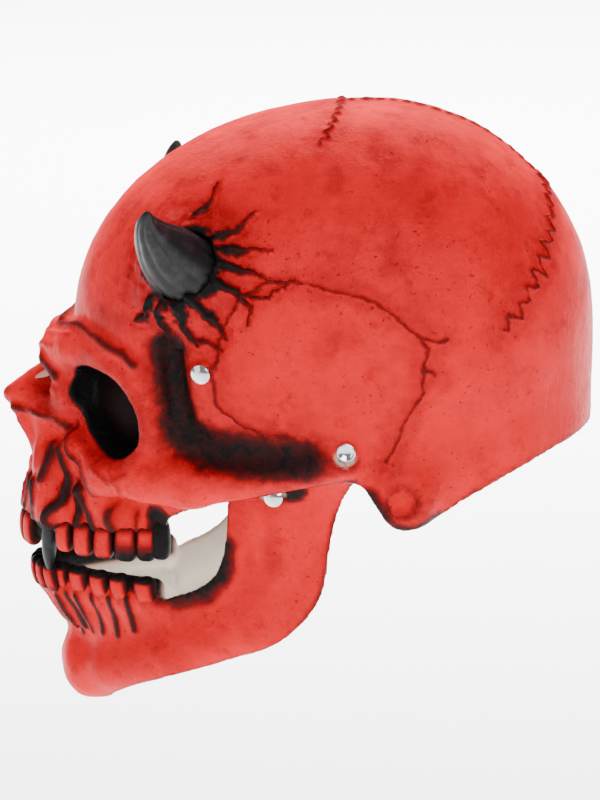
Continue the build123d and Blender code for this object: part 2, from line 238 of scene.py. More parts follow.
def meshPoints(mesh):
    co = np.empty(len(mesh.vertices) * 3)
    mesh.vertices.foreach_get("co", co)
    return co.reshape(-1, 3) / mm


def meshNormals(mesh):
    co = np.empty(len(mesh.vertices) * 3, np.float32)
    mesh.vertex_normals.foreach_get("vector", co)
    return co.reshape(-1, 3).astype(float)


def setPoints(mesh, points):
    mesh.vertices.foreach_set("co", (points * mm).ravel())
    mesh.update()


def store(mesh, name, values):
    attribute = mesh.attributes.get(name) or mesh.attributes.new(name, "FLOAT", "POINT")
    attribute.data.foreach_set("value", np.clip(values, 0, 1).astype(np.float32))


def lumps(points, size, seed=0, octaves=1):
    # soft noise from -1 to 1 at each point
    shift = Vector((seed * 3.7, seed * 1.3, seed * 2.1))
    if octaves == 1:
        return np.array([noise.noise(Vector(p) + shift) for p in points / size])
    return np.array([noise.fractal(Vector(p) + shift, 1.0, 2.0, octaves) for p in points / size])


def pathDistance(points, path):
    best = np.full(len(points), 1e9)
    for p, q in zip(path, path[1:]):
        p, q = np.array(p, float), np.array(q, float)
        d = q - p
        t = np.clip(((points - p) @ d) / max(d.dot(d), 1e-9), 0, 1)
        best = np.minimum(best, ((points - p - t[:, None] * d) ** 2).sum(1))
    return np.sqrt(best)


def onSkin(points, centre):
    # directions from a centre, so that a line can be laid on the skin without knowing its height
    away = points - np.array(centre)
    return away / np.linalg.norm(away, axis=1)[:, None]


def lineOnSkin(points, centre, path):
    radius = np.linalg.norm(points - np.array(centre), axis=1)
    return pathDistance(onSkin(points, centre), onSkin(np.array(path, float), centre)) * radius


def linked(name, data):
    o = bpy.data.objects.new(name, data)
    bpy.context.scene.collection.objects.link(o)
    return o


def placed(name, mesh, body, *nodes):
    o = linked(name, mesh)
    for face in mesh.polygons:
        face.use_smooth = True
    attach(o, body)
    if nodes:
        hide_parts(*nodes)
    return o


def fromBmesh(name, bm, body, *nodes):
    mesh = bpy.data.meshes.new(name)
    bm.to_mesh(mesh)
    bm.free()
    return placed(name, mesh, body, *nodes)


def weldedCopy(node):
    # a CAD piece's mesh with its corners joined
    bm = bmesh.new()
    bm.from_mesh(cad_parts[node].data)
    bmesh.ops.remove_doubles(bm, verts=bm.verts, dist=1e-6)
    return bm


def withModifiers(name, mesh, add):
    # the mesh after the modifiers that add puts on it
    o = linked(name, mesh)
    add(o)
    shaped = bpy.data.meshes.new_from_object(o.evaluated_get(bpy.context.evaluated_depsgraph_get()))
    bpy.data.objects.remove(o)
    return shaped


def pieceName(node):
    return "".join(word.title() for word in node.split("_"))


def rivetAxis(head, back):
    # where a rivet's cap sits and which way it faces, read from its two CAD pieces
    headPoints, backPoints = meshPoints(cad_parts[head].data), meshPoints(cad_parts[back].data)
    middle = (backPoints.max(0) + backPoints.min(0)) / 2
    facing = (headPoints.max(0) + headPoints.min(0)) / 2 - middle
    facing /= np.linalg.norm(facing)
    seat = ((headPoints - middle) @ facing).max() - capHeight
    return middle + facing * seat, facing


capHeight = 1.8
temple = rivetAxis("temple_rivet_left", "temple_cap_left")
hinge = rivetAxis("hinge_rivet_left", "hinge_cap_left")
jawPin = rivetAxis("jaw_rivet_left", "jaw_cap_left")


skull = {
    "step": 1.4,
    "wall": 3.0,
    "crown": 141.0,
    "domeLevel": 45.0,
    "width": [(-66, 66), (-40, 74), (-20, 79), (0, 81.5), (20, 84), (45, 85)],
    "front": [(-66, 80), (-40, 92), (-20, 106), (0, 116), (20, 121), (34, 124), (45, 123)],
    "rear": [(-66, 100), (-40, 105), (-20, 108), (45, 108)],
    "squareness": [(-66, 2.0), (-20, 2.3), (0, 2.7), (30, 2.6), (45, 2.4)],
    "muzzleReach": [(-66, 143), (-53, 146), (-43, 147), (-30, 145), (-20, 140), (-10, 131), (0, 120), (12, 100)],
    "muzzleHalfWidth": 43.0,
    "neckEdge": [(135, 4), (109, -1), (92, -6), (72, -14), (53.5, -24), (38, -33), (27, -37), (18.5, -35), (11.7, -24),
                 (6, -15.5), (-4, -15), (-22, -18), (-41.5, -23), (-56, -26), (-65, -30.5), (-73, -36), (-79, -40.5),
                 (-80, -47), (-84, -49.5), (-127, -47.5), (-170, -47), (-170, -95), (135, -95)],
}
orbit = {"place": np.array([46.0, -101.6, 10.2]), "radii": (25.2, 26, 18.2), "turn": (0, 20, 40),
         "outward": np.array([math.sin(math.radians(40)), -math.cos(math.radians(40)), 0]), "depth": 4,
         "sight": np.array([42.5, -104.5, 10.5])}
hornSocket = {"place": np.array([62.5, -68, 74.0]), "facing": np.array([0.80, -0.26, 0.54]), "depth": 7.0}
rivetHoles = {"cap": 5.6, "temple": 1.7, "hinge": 2.3, "jaw": 1.7}
# (forward, side or 0 on the arch, half width, height of the biting edge)
upperTeeth = [(145.5, 4.3, 4.3, -61.5), (142.8, 12.0, 3.7, -61.0), (126.6, 0, 3.7, -59.5), (118, 0, 4.5, -60.5),
              (108.8, 0, 4.5, -61.0), (98.8, 0, 5.1, -61.5), (89.6, 0, 4.3, -61.0), (83.0, 0, 4.0, -60.0)]
upperArch = (40.5, 146.5)    # half width, and how far forward it reaches


def headForm(x, y, z):
    base = np.minimum(z, skull["domeLevel"])
    rise = np.maximum(z - skull["domeLevel"], 0) / (skull["crown"] - skull["domeLevel"])
    part = np.sqrt(np.maximum(1 - rise * rise, 0))
    middle = -10 + 18 * smoothStep(5, 45, z)
    width = softTable(skull["width"])(base) * np.maximum(part, 0.2) ** -0.1
    front = softTable(skull["front"])(base) + middle
    rear = softTable(skull["rear"])(base) - middle
    power = softTable(skull["squareness"])(base) - 0.4 * (1 - part)
    away = y - middle
    length = np.where(away < 0, front, rear)
    power = np.where(away < 0, power, 2.2 - 0.2 * (1 - part))
    norm = ((np.abs(x) / width) ** power + (np.abs(away) / length) ** power) ** (1 / power)
    norm = np.sqrt(norm * norm + rise * rise) + 1e-6
    reach = np.sqrt(x * x + away * away + np.maximum(z - skull["domeLevel"], 0) ** 2)
    return reach * (1 - 1 / norm)


def muzzleForm(x, y, z):
    middle = -55.0
    reach = softTable(skull["muzzleReach"])(z) + middle
    away = y - middle
    length = np.where(away < 0, reach, 40.0)
    norm = ((np.abs(x) / skull["muzzleHalfWidth"]) ** 2.2 + (np.abs(away) / length) ** 2.2) ** (1 / 2.2)
    flat = np.sqrt(x * x + away * away) * (1 - 1 / (norm + 1e-6))
    return smoothMax(flat, z - 2, 10)


def archPoint(forward, halfWidth, reach):
    # side of the tooth row at a distance forward of the hinge
    share = min(1.0, max(0.0, (forward - 60) / (reach - 60)))
    return halfWidth * (1 - share ** 2.3) ** (1 / 2.3)


def archHeading(forward, halfWidth, reach):
    ahead = archPoint(min(forward + 1, reach - 0.05), halfWidth, reach)
    behind = archPoint(forward - 1, halfWidth, reach)
    return math.degrees(math.atan2(2, behind - ahead))


# swollen bone broken into chunks round the horn: (turn, width, thickness, distance out)
hornChunks = [(0, 5.5, 4, 19), (35, 4.5, 4, 20), (70, 6, 4.5, 19), (108, 5, 4, 19), (145, 5.5, 4, 18), (180, 5, 4, 18),
              (215, 6, 4.5, 18), (250, 6, 4.5, 18.5), (285, 5, 4, 19), (322, 6, 4.5, 19)]


def hornAround(turn):
    # direction away from the horn's axis along the skull
    facing = hornSocket["facing"]
    first = np.cross(facing, (0, 0, 1))
    first /= np.linalg.norm(first)
    second = np.cross(facing, first)
    return first * math.cos(math.radians(turn)) + second * math.sin(math.radians(turn))


def addFace(clay):
    # brow: two heavy lobes that meet over the nose, and their crease
    clay.add(roll([(0, -124, 27), (14, -127, 29), (30, -120, 34), (46, -104, 35)], [10, 11, 9.5, 7]), 9)
    clay.add(ball((10, -129, 30), (11, 8, 9)), 6)
    clay.add(roll([(46, -103, 35), (60, -90, 24), (64, -86, 6), (62, -86, -8)], [7, 6.5, 6.5, 7]), 8)
    # cheekbone and arch
    clay.add(roll([(34, -118, -16), (50, -106, -20), (63, -88, -18), (71, -68, -17)], [7, 9.5, 10.5, 9.5]), 11)
    clay.add(roll([(71, -68, -17), (77, -46, -14), (80.5, -20, -9), (80, 0, -5)], [9.5, 7.5, 6.5, 5]), 9)
    clay.add(ball((76, 24, -24), (7, 12, 13)), 14)
    # muzzle sides below the nose
    clay.add(roll([(13, -133, -4), (20, -134, -22), (26, -132, -42)], [7, 8, 8]), 10)
    clay.add(roll([(30, -122, -10), (36, -116, -26), (37, -108, -40)], [6, 6, 6]), 9)
    # nose, a sharp beak with the bony edges of its opening below
    clay.add(roll([(0, -124, 18), (0, -140, 12.5), (0, -153.2, 6.8)], [12, 7.0, 3.1]), 5)
    clay.add(roll([(0, -152, 5.5), (6, -147, -3), (9.5, -141.5, -11), (11, -138.5, -18)], [3, 3.6, 3.8, 4.0]), 4)
    clay.add(roll([(4, -146, 6), (12, -136, 2), (20, -126, 2)], [4, 7, 7]), 7)
    clay.add(ball((0, -139, -25), (9, 7, 6)), 4)
    clay.add(ball((23, -125, 14), (9, 8, 10)), 7)
    # temple groove behind the eye and along the top of the arch
    clay.cut(roll([(68, -76, 44), (70, -73.5, 24), (73, -71, 8), (78, -62, 0), (84, -44, -1), (89, -22, -1)],
                  [3.6, 4.6, 5.2, 5.2, 4.6, 3.5]), 10)
    # hollows of the face
    clay.cut(ball((43, -127, -22), (9, 9, 12)), 7)
    clay.cut(ball((58, -96, -38), (12, 14, 9)), 9)


def addSockets(clay):
    # orbit with its raised rim
    outward = orbit["outward"]
    clay.add(ball(orbit["place"] - outward * 3, (30, 9, 24), orbit["turn"]), 7)
    clay.cut(ball(orbit["place"] + outward * orbit["depth"], orbit["radii"], orbit["turn"]), 2.2)
    # horn socket: swollen bone round a pit
    base, facing = hornSocket["place"], hornSocket["facing"]
    clay.add(ball(base - facing * 6, (22, 22, 22)), 12)
    for turn, wide, tall, out in hornChunks:
        clay.add(ball(base + hornAround(turn) * out + facing, (wide, tall, wide)), 3)
    clay.cut(ball(base + facing * hornSocket["depth"], (14.6, 14.6, 15.5)), 2)
    # blind dimple behind the jaw
    clay.cut(ball((83.5, 24, -22.5), (5.2, 5.0, 5.0)), 1.2)


def addUpperRoots(clay):
    # tooth row: a solid ridge, then a crown and a root for each tooth
    row = [(archPoint(f, 35.5, 141.5), -f, -53) for f in (141, 139, 135, 128, 120, 110, 99, 88, 84)]
    clay.add(roll(row, [4.8] * len(row)), 3)
    clay.add(roll([(p[0] + 0.5, p[1], -45.5) for p in row], [5.2] * len(row)), 3)
    for forward, side, half, edge in upperTeeth[:-1]:
        px = side or archPoint(forward, *upperArch)
        root = [(px * 0.98, -forward, -44), (px * 0.97, -forward + 0.8, -38), (px * 0.94, -forward - 0.6, -30)]
        clay.add(roll(root, [half * 0.85, half * 0.72, half * 0.3]), 2.2)
    fangRoot = [(22.5, -136.3, -46), (22.5, -134.5, -38), (22, -133, -30)]
    clay.add(roll(fangRoot, [4.6, 4.2, 1.5]), 2.2)


def cutOpenings(clay):
    # openings: sight through the orbit, nose, rivet seats
    outward = orbit["outward"]
    clay.cut(plug(orbit["sight"] - outward * 16, outward, -14, 14, 14.0), 1.5)
    clay.cut(ball((0, -142, -9), (6.3, 9, 9.5), (-25, 0, 0)), 2)
    for (place, facing), hole in ((temple, rivetHoles["temple"]), (hinge, rivetHoles["hinge"])):
        clay.add(plug(place, facing, -skull["wall"], -0.05, rivetHoles["cap"]), 2)
        clay.cut(plug(place, facing, 0.0, 6, rivetHoles["cap"]), 0.8)
        clay.cut(plug(place, facing, -10, 6, hole), 0.3)


def modelSkull():
    clay = Clay((0, -166, -78), (94, 118, 152), skull["step"])
    x, y, z = clay.everywhere()
    clay.field = smoothMin(headForm(x, y, z), muzzleForm(x, y, z), 9)
    addFace(clay)
    addSockets(clay)
    outside = clay.field.copy()
    # a 3 mm wall that follows the outside, open below
    wall = skull["wall"]
    shell = np.abs(clay.field + wall / 2) - wall / 2
    below = outlineDistance(rounded(skull["neckEdge"], 1), clay.axes[1][:, None], clay.axes[2][None, :])
    clay.field = smoothMax(shell, -below[None, :, :], 2.2)
    addUpperRoots(clay)
    cutOpenings(clay)
    field = clay.field
    clay.field = outside
    return clay, clay.cast("skullShell", field)


clay, skullMesh = modelSkull()
print("skull cast", len(skullMesh.vertices))


def edgeArrays(mesh):
    edges = np.empty(len(mesh.edges) * 2, np.int32)
    mesh.edges.foreach_get("vertices", edges)
    return edges.reshape(-1, 2)


def averaged(values, edges, rounds):
    # each point's value drawn towards its neighbours' mean
    count = np.bincount(edges.ravel(), minlength=len(values)).astype(float)
    for _ in range(rounds):
        total = np.bincount(edges[:, 0], values[edges[:, 1]], len(values)) \
            + np.bincount(edges[:, 1], values[edges[:, 0]], len(values))
        values = 0.5 * values + 0.5 * total / np.maximum(count, 1)
    return values


def relaxed(mesh, rounds, where=None):
    edges, points = edgeArrays(mesh), meshPoints(mesh)
    smoothed = np.stack([averaged(points[:, k], edges, rounds) for k in range(3)], 1)
    setPoints(mesh, smoothed if where is None else np.where(where[:, None], smoothed, points))


def cavity(mesh, rounds):
    # positive in hollows, negative on ridges
    edges, points = edgeArrays(mesh), meshPoints(mesh)
    smoothed = np.stack([averaged(points[:, k], edges, rounds) for k in range(3)], 1)
    return ((smoothed - points) * meshNormals(mesh)).sum(1)


def refine(mesh, wanted):
    # cuts the faces of the wanted points into four
    bm = bmesh.new()
    bm.from_mesh(mesh)
    bm.verts.ensure_lookup_table()
    picked = [e for e in bm.edges if wanted[e.verts[0].index] and wanted[e.verts[1].index]]
    bmesh.ops.subdivide_edges(bm, edges=picked, cuts=1, use_grid_fill=True)
    bmesh.ops.triangulate(bm, faces=[f for f in bm.faces if len(f.verts) > 4])
    bm.to_mesh(mesh)
    bm.free()


def wander(points, size, amount, seed):
    # jagged lines come from looking a little beside each point
    shift = Vector((seed, seed * 2.3, seed * 0.7))
    return points + amount * np.array([noise.noise_vector(Vector(p) + shift) for p in points / size])


def mirrored(points):
    folded = points.copy()
    folded[:, 0] = np.abs(folded[:, 0])
    return folded


def thinInside(name, mesh, inside, ratio):
    # fewer faces on the hidden inner wall
    def add(o):
        group = o.vertex_groups.new(name="inside")
        for weight in (0.3, 1.0):
            group.add(np.nonzero(inside == weight)[0].tolist(), weight, "REPLACE")
        thin = o.modifiers.new("thin", "DECIMATE")
        thin.ratio = ratio
        thin.vertex_group = "inside"
        thin.vertex_group_factor = 10
    return withModifiers(name, mesh, add)


# centres from which lines are laid on the skin: the braincase, the face and the lower jaw
bone = (0, 0, 22)
face = (0, -70, -5)
chin = (0, -80, -88)
sutures = {
    "temple": [(80, -7, 70), (80, -23, 74), (76, -34, 70), (74, -41, 65), (73, -46, 55), (72, -50, 45), (71, -51, 36),
               (72, -52, 26), (73, -49, 17), (76, -41, 11), (78, -34, 8), (80, -22, 7)],
    "side": [(80, -7, 70), (82, 8, 67), (84, 21, 60), (84, 31, 52), (84, 35, 45), (84, 34, 36), (84, 32, 24),
             (84, 25, 11), (83, 21, 0), (82, 17, -5)],
    "sideTwig": [(84, 31, 52), (84, 40, 49), (84, 44, 51)],
    "lowTwig": [(84, 34, 38), (84, 40, 34)],
    "coronal": [(0, -4, 140), (10, -5, 139), (20, -5, 137), (35, -9, 132), (45, -12, 128)],
    "sagittal": [(0, -4, 140), (0, 20, 141), (0, 36, 139), (0, 54, 133), (0, 70, 122), (0, 83, 108)],
    "lambdoid": [(0, 83, 108), (14, 83, 101), (22, 82, 92), (34, 80, 84), (45, 77, 74), (56, 74, 66), (64, 68, 55),
                 (67, 63, 50)],
}
sawn = {"lambdoid": (3.4, 3.4, 2), "sagittal": (3.0, 1.8, 3), "coronal": (3.2, 1.2, 4)}    # step, reach, seed
hornCracks = [
    [(64, -52, 86), (66, -46, 94), (65, -40, 101)], [(68, -48, 82), (74, -40, 87), (77, -31, 88)],
    [(70, -49, 76), (76, -40, 77), (80, -32, 74), (82, -22, 76)],
    [(71, -52, 70), (77, -42, 66), (80, -33, 68), (81, -25, 73)],
    [(76, -45, 68), (78, -40, 60), (77, -40, 54)], [(71, -60, 62), (74, -53, 55), (74, -48, 47)],
    [(70, -66, 58), (70, -64, 50), (71, -60, 44)], [(66, -79, 61), (65, -84, 55), (62, -90, 53)],
    [(68, -74, 57), (68, -75, 50), (69, -72, 44)],
    [(53, -60, 92), (51, -54, 99), (47, -51, 104)], [(71, -64, 47), (74, -56, 46), (75, -50, 42)],
]
creases = [
    # (line, width, depth in mm, painted)
    ([(6, -134, 42), (20, -130, 46), (36, -118, 45), (52, -103, 38), (62, -90, 32)], 1.9, 1.3, 0.8),
    ([(4, -137, 36), (22, -132, 40), (34, -122, 40)], 1.1, 0.6, 0.4),
    ([(4, -138, 31), (16, -135, 32), (26, -130, 33)], 1.0, 0.5, 0.35),
    ([(18, -134, 25), (24, -130, 22), (27, -127, 19)], 2.0, 1.5, 0.9),
    ([(6, -150, 1), (14, -140, 1), (24, -130, 1), (29, -126, -3)], 1.5, 1.3, 0.8),
    ([(8, -146, 10), (18, -134, 12), (26, -126, 13)], 1.3, 0.6, 0.5),
    ([(24, -129, -11), (25, -128, -17), (24, -127, -23)], 2.0, 1.9, 0.75),
    ([(20, -140, -45), (21, -137, -36), (21, -135, -27)], 1.7, 1.9, 1.0),
    ([(30, -131, -46), (30, -129, -38.6), (31, -124.3, -31.7), (31, -123.6, -23.4), (30, -125.7, -10.5)],
     1.8, 2.0, 1.0),
    ([(34, -121.4, -47), (34, -118.7, -39), (34, -120, -33.5), (36, -116, -27)], 1.7, 1.8, 1.0),
    ([(37, -113.7, -47), (37, -113, -38.6), (36, -116, -30.2), (35, -118, -26)], 1.7, 1.8, 1.0),
    ([(32, -126.5, 1), (35, -122, -12.5), (42, -108.2, -18.3), (44, -105.8, -25)], 1.5, 1.4, 0.75),
    ([(9, -145, -43), (10, -141, -32.5), (11, -139, -25.6)], 1.4, 1.4, 0.9),
    ([(3, -147, -43), (3.5, -144, -33)], 1.2, 1.1, 0.8),
    ([(39, -104, -46), (40, -105, -40), (39, -103, -35)], 1.3, 0.9, 0.7),
    ([(40, -94, -46), (41, -94, -40)], 1.3, 0.8, 0.6),
    ([(50, -108, -14), (58, -100, -18), (62, -94, -14)], 1.2, 0.7, 0.5),
    ([(56, -100, -12), (60, -97, -20), (57, -98, -27)], 1.1, 0.7, 0.45),
    ([(62, -86, 28), (64, -84, 14), (66, -81, 2)], 1.3, 0.5, 0.4),
]


def zigzag(line, step, reach, seed):
    # a suture that saws from side to side along its line
    chance = np.random.default_rng(seed)
    points, side = [np.array(line[0], float)], 1
    for p, q in zip(line, line[1:]):
        p, q = np.array(p, float), np.array(q, float)
        along = q - p
        length = np.linalg.norm(along)
        across = np.cross(along / length, p / np.linalg.norm(p))
        count = max(1, int(length / step))
        for i in range(count):
            side = -side
            points.append(p + along * (i + 0.5) / count + across * side * reach * chance.uniform(0.5, 1.3))
    return points + [np.array(line[-1], float)]


def strokes(points, lines, centre):
    depth, paint = np.zeros(len(points)), np.zeros(len(points))
    for line, width, deep, colour in lines:
        low, high = np.min(line, 0) - 14, np.max(line, 0) + 14
        near = np.nonzero(((points > low) & (points < high)).all(1))[0]
        away = lineOnSkin(points[near], centre, line)
        fall = np.exp(-(away / width) ** 2)
        depth[near] -= deep * fall
        depth[near] += deep * 0.35 * np.exp(-((away - 2.3 * width) / width) ** 2)
        paint[near] = np.maximum(paint[near], colour * np.exp(-(away / (1.5 * width)) ** 2))
    return depth, paint


def skullLines(points):
    # how far each point is from a suture or a crack
    jagged = mirrored(wander(wander(points, 7.0, 1.6, 3), 2.4, 0.8, 5))
    best = np.full(len(points), 99.0)
    for name, line in sutures.items():
        if name in sawn:
            line = zigzag(line, *sawn[name])
        best = np.minimum(best, lineOnSkin(jagged, bone, line))
    cracks = np.full(len(points), 99.0)
    away = np.linalg.norm(mirrored(points) - hornSocket["place"], axis=1)
    near = np.nonzero(away < 60)[0]
    taper = np.clip((46 - away[near]) / 20, 0.3, 1.3)
    for line in hornCracks:
        cracks[near] = np.minimum(cracks[near], lineOnSkin(jagged[near], bone, line) / taper)
    return best, cracks


# paint smeared along a line: (coat, strength, reach, where it is full, ragged by soft noise, by fine noise, line)
grooveLine = [(66, -76, 42), (68, -73, 22), (71, -70.5, 6), (77, -58, -1), (83, -40, -2), (88, -18, -3)]
skullSmears = [
    ("soot", 0.86, 13.0, 4.5, 1.4, 1.5, grooveLine), ("wash", 0.55, 20, 9, 4, 0, grooveLine),
    ("soot", 0.7, 3.4, 0.8, 1, 0, [(81, 3, -15), (80, -22, -18), (77, -41, -23), (74, -56, -26), (68, -65, -30)]),
    ("soot", 0.9, 8, 2, 1.2, 0, [(80, 9, -22), (78, 17, -34), (76, 28, -37), (75, 40, -33)]),
    ("soot", 0.95, 9, 5, 1.5, 0, [(40, -82, -40), (40, -82, -61)]),
    ("wash", 0.45, 15, 3, 5, 0, [(46, -106, 52), (58, -88, 48), (66, -72, 46)]),
]
jawSmears = [
    ("soot", 0.95, 9.5, 1.5, 1.3, 0, [(40, -84, -76), (46, -74, -75), (52, -64, -70), (57, -57, -62), (58, -55, -50)]),
    ("soot", 0.75, 3.5, 1, 1, 0, [(64, -54, -28), (60, -54, -45), (58, -55, -56)]),
    ("soot", 0.95, 8, 4.5, 1.5, 0, [(66, -42, -21), (67, -31.7, -24), (68, -24, -21)]),
    ("soot", 0.35, 5, 1, 1, 0, [(64, -3, -34), (62, -7, -50), (61, -9, -66), (60, -15, -78)]),
    ("wash", 0.35, 9, 4, 1, 0, [(68, -34, -28), (67, -34, -42), (66, -33, -56)]),
]


class Coats:
    # the paint on a skin: each coat keeps the strongest of what is laid on it
    def __init__(self, points, **first):
        self.points, self.laid = points, first

    def lay(self, coat, *amounts):
        for amount in amounts:
            self.laid[coat] = np.maximum(self.laid[coat], amount)

    def smear(self, rows, soft, fine):
        for coat, strength, reach, full, softly, finely, line in rows:
            away = pathDistance(self.points, line) + soft * softly + fine * finely
            self.lay(coat, strength * smoothStep(reach, full, away))

    def keep(self, mesh, outer):
        for coat, values in self.laid.items():
            store(mesh, coat, values if coat == "gloss" else values * outer)
        store(mesh, "lining", 1 - outer)
        mesh.flip_normals()    # the cast skin faces inwards until here


def sculptSkull(mesh):
    # an even skin, thin inside and fine along the lines
    relaxed(mesh, 1)
    deep = clay.read(meshPoints(mesh))
    relaxed(mesh, 5, (deep < -0.5) & (deep > -2.6) & (meshPoints(mesh)[:, 2] > -46))
    points = meshPoints(mesh)
    inside = np.where(clay.read(points) < -2.2, 1.0, np.where(points[:, 1] > -38, 0.3, 0.0))
    mesh = thinInside("thinning", mesh, inside, 0.42)
    print("inner wall thinned", len(mesh.vertices))
    points = meshPoints(mesh)
    outer = clay.read(points) > -1.2
    best, cracks = skullLines(points)
    refine(mesh, outer & (np.minimum(best, cracks) < 3.0))
    return mesh


def finishSkull(mesh):
    mesh = sculptSkull(mesh)
    points, normals = meshPoints(mesh), meshNormals(mesh)
    folded = mirrored(points)
    outer = smoothStep(-2.0, -0.8, clay.read(points))
    best, cracks = skullLines(points)
    hollow = cavity(mesh, 14)
    hornPlace, hornFacing = hornSocket["place"], hornSocket["facing"]
    # push the skin about: lumps, sutures, cracks, creases
    push = 0.45 * lumps(points, 24, 1) + 0.22 * lumps(points, 9, 2) + 0.10 * lumps(points, 3.6, 4)
    push -= 0.9 * np.exp(-(best / 0.7) ** 2) - 0.22 * np.exp(-((best - 2.1) / 1.1) ** 2)
    hornAway = np.linalg.norm(folded - hornPlace, axis=1)
    push -= 2.2 * np.exp(-(cracks / 1.2) ** 2) - 0.8 * np.exp(-((cracks - 3.2) / 1.6) ** 2)
    push += 1.3 * smoothStep(36, 20, hornAway) * lumps(points, 5.5, 15, 2)
    depth, creasePaint = strokes(wander(folded, 9, 1.4, 8), creases, face)
    push += depth
    rough = np.clip(1 - np.abs(folded[:, 1] + 100) / 45, 0, 1)
    rough *= smoothStep(-62, -30, points[:, 2]) * smoothStep(30, -5, points[:, 2])
    push += 0.35 * rough * lumps(points * np.array([1, 1.0, 0.35]), 3.2, 11, 3)
    eyePit = ball(orbit["place"] + orbit["outward"] * orbit["depth"], orbit["radii"], orbit["turn"])[0](*folded.T)
    hornPit = np.linalg.norm(folded - hornPlace - hornFacing * hornSocket["depth"], axis=1) - 14.8
    push += 1.0 * smoothStep(1.5, -2, eyePit) * lumps(points * np.array([1, 1, 0.25]), 4.5, 13, 2)
    for place in (temple[0], hinge[0]):
        push *= smoothStep(5.5, 8.5, np.linalg.norm(folded - place, axis=1))
    push *= outer
    setPoints(mesh, points + normals * push[:, None])
    # paint
    soft, fine = lumps(points, 7, 21, 3), lumps(points, 3.0, 23, 2)
    gloss = smoothStep(1.6, 0.4, eyePit)
    ridge = smoothStep(-45.5, -47.5, points[:, 2]) * smoothStep(-76, -80, points[:, 1])
    outer = np.maximum(outer, ridge)
    noseHole = np.linalg.norm((folded - np.array([0, -139, -9])) / np.array([8, 10, 11]), axis=1)
    noseSide = ball((18, -134, 12), (15, 16, 13))[0](*folded.T)
    dirt = smoothStep(0.05, 0.75, lumps(points, 15, 25, 4)) * smoothStep(20, 60, points[:, 2])
    coats = Coats(folded, soot=gloss, wash=creasePaint, gloss=gloss, worn=smoothStep(0.15, 0.7, -hollow),
                  crack=np.maximum(0.85 * smoothStep(1.15, 0.25, best), smoothStep(1.9, 0.6, cracks)))
    coats.smear(skullSmears, soft, fine)
    coats.lay("soot", smoothStep(5.5, 2.0, hornPit + fine * 3.2 + soft * 2.6),
              smoothStep(3.0, 0.8, cracks + fine * 1.2) * smoothStep(38, 20, hornAway), ridge,
              0.8 * smoothStep(0.35, 0.85, creasePaint) * smoothStep(-4, -14, points[:, 2]),
              0.45 * smoothStep(0.45, 0.8, creasePaint), smoothStep(1.1, 0.8, noseHole))
    coats.lay("wash", smoothStep(0.2, 0.95, hollow) * np.where(points[:, 2] < -20, 1.0, 0.7),
              0.5 * smoothStep(10, 3, eyePit + soft * 2.5), 0.65 * smoothStep(4, -5, noseSide + soft * 3),
              0.5 * smoothStep(42, 20, hornAway + soft * 7), 0.34 * dirt,
              0.32 * smoothStep(10, 1.5, best + fine * 3 + soft * 3))
    coats.keep(mesh, outer)
    return mesh


skullMesh = finishSkull(skullMesh)
skullShell = placed("skullShell", skullMesh, "skull", "skull_shell")
print("skull sculpted", len(skullMesh.vertices), "points", len(skullMesh.polygons), "faces")


jaw = {
    "step": 1.2,
    "wall": 3.0,
    "middle": 20,
    "squareness": 1.8,
    "ear": 76.9,
    "earRadius": 11,
    "width": [(-128, 60), (-100, 65), (-60, 66), (-28, 66), (-9, 76.2), (14, 76.2)],
    "reach": [(-128, 120), (-121.5, 127), (-114, 129), (-105, 127), (-99, 129), (-90.6, 134), (-79, 139.0), (-66, 142)],
    "outline": [(-121, -132), (-109, -131), (-103.6, -124.5), (-94, -118), (-78, -111), (-61, -105), (-48, -99.7),
                (-38, -96.5), (-25, -90), (-13.5, -77), (-8.8, -65.4), (-7, -48), (-4, -33), (1.5, -20), (8, -10),
                (11, 0),
                (8, 8), (0, 11), (-8, 8), (-20, -4), (-40, -12), (-53, -22), (-54, -45), (-55.5, -55), (-58.6, -63),
                (-66, -69), (-74.5, -72.5), (-81, -75), (-86, -78.5), (-170, -78.5), (-170, -131)],
}
# (forward, side or 0 along the jaw, half width)
lowerTeeth = [(141.6, 0.0, 3.2), (140.6, 6.6, 3.1), (137.6, 12.8, 3.2), (133.5, 18.6, 3.4), (127.8, 0, 3.3),
              (120.4, 0, 4.7), (110.8, 0, 4.2), (101.4, 0, 4.2), (89.8, 0, 4.6)]


jawWidth, jawReach = softTable(jaw["width"], 3), softTable(jaw["reach"], 2.5)


def jawForm(x, y, z):
    power, middle = jaw["squareness"], jaw["middle"]
    away = y - middle
    length = np.where(away < 0, jawReach(z) + middle, 40.0)
    norm = ((np.abs(x) / jawWidth(z)) ** power + (np.abs(away) / length) ** power) ** (1 / power)
    return np.sqrt(x * x + away * away) * (1 - 1 / (norm + 1e-6))


def jawSide(forward, level):
    # half the jaw's width at a distance forward of the hinge
    power, middle = jaw["squareness"], jaw["middle"]
    share = min(1.0, (forward + middle) / (float(jawReach(level)) + middle))
    return float(jawWidth(level)) * (1 - share ** power) ** (1 / power)


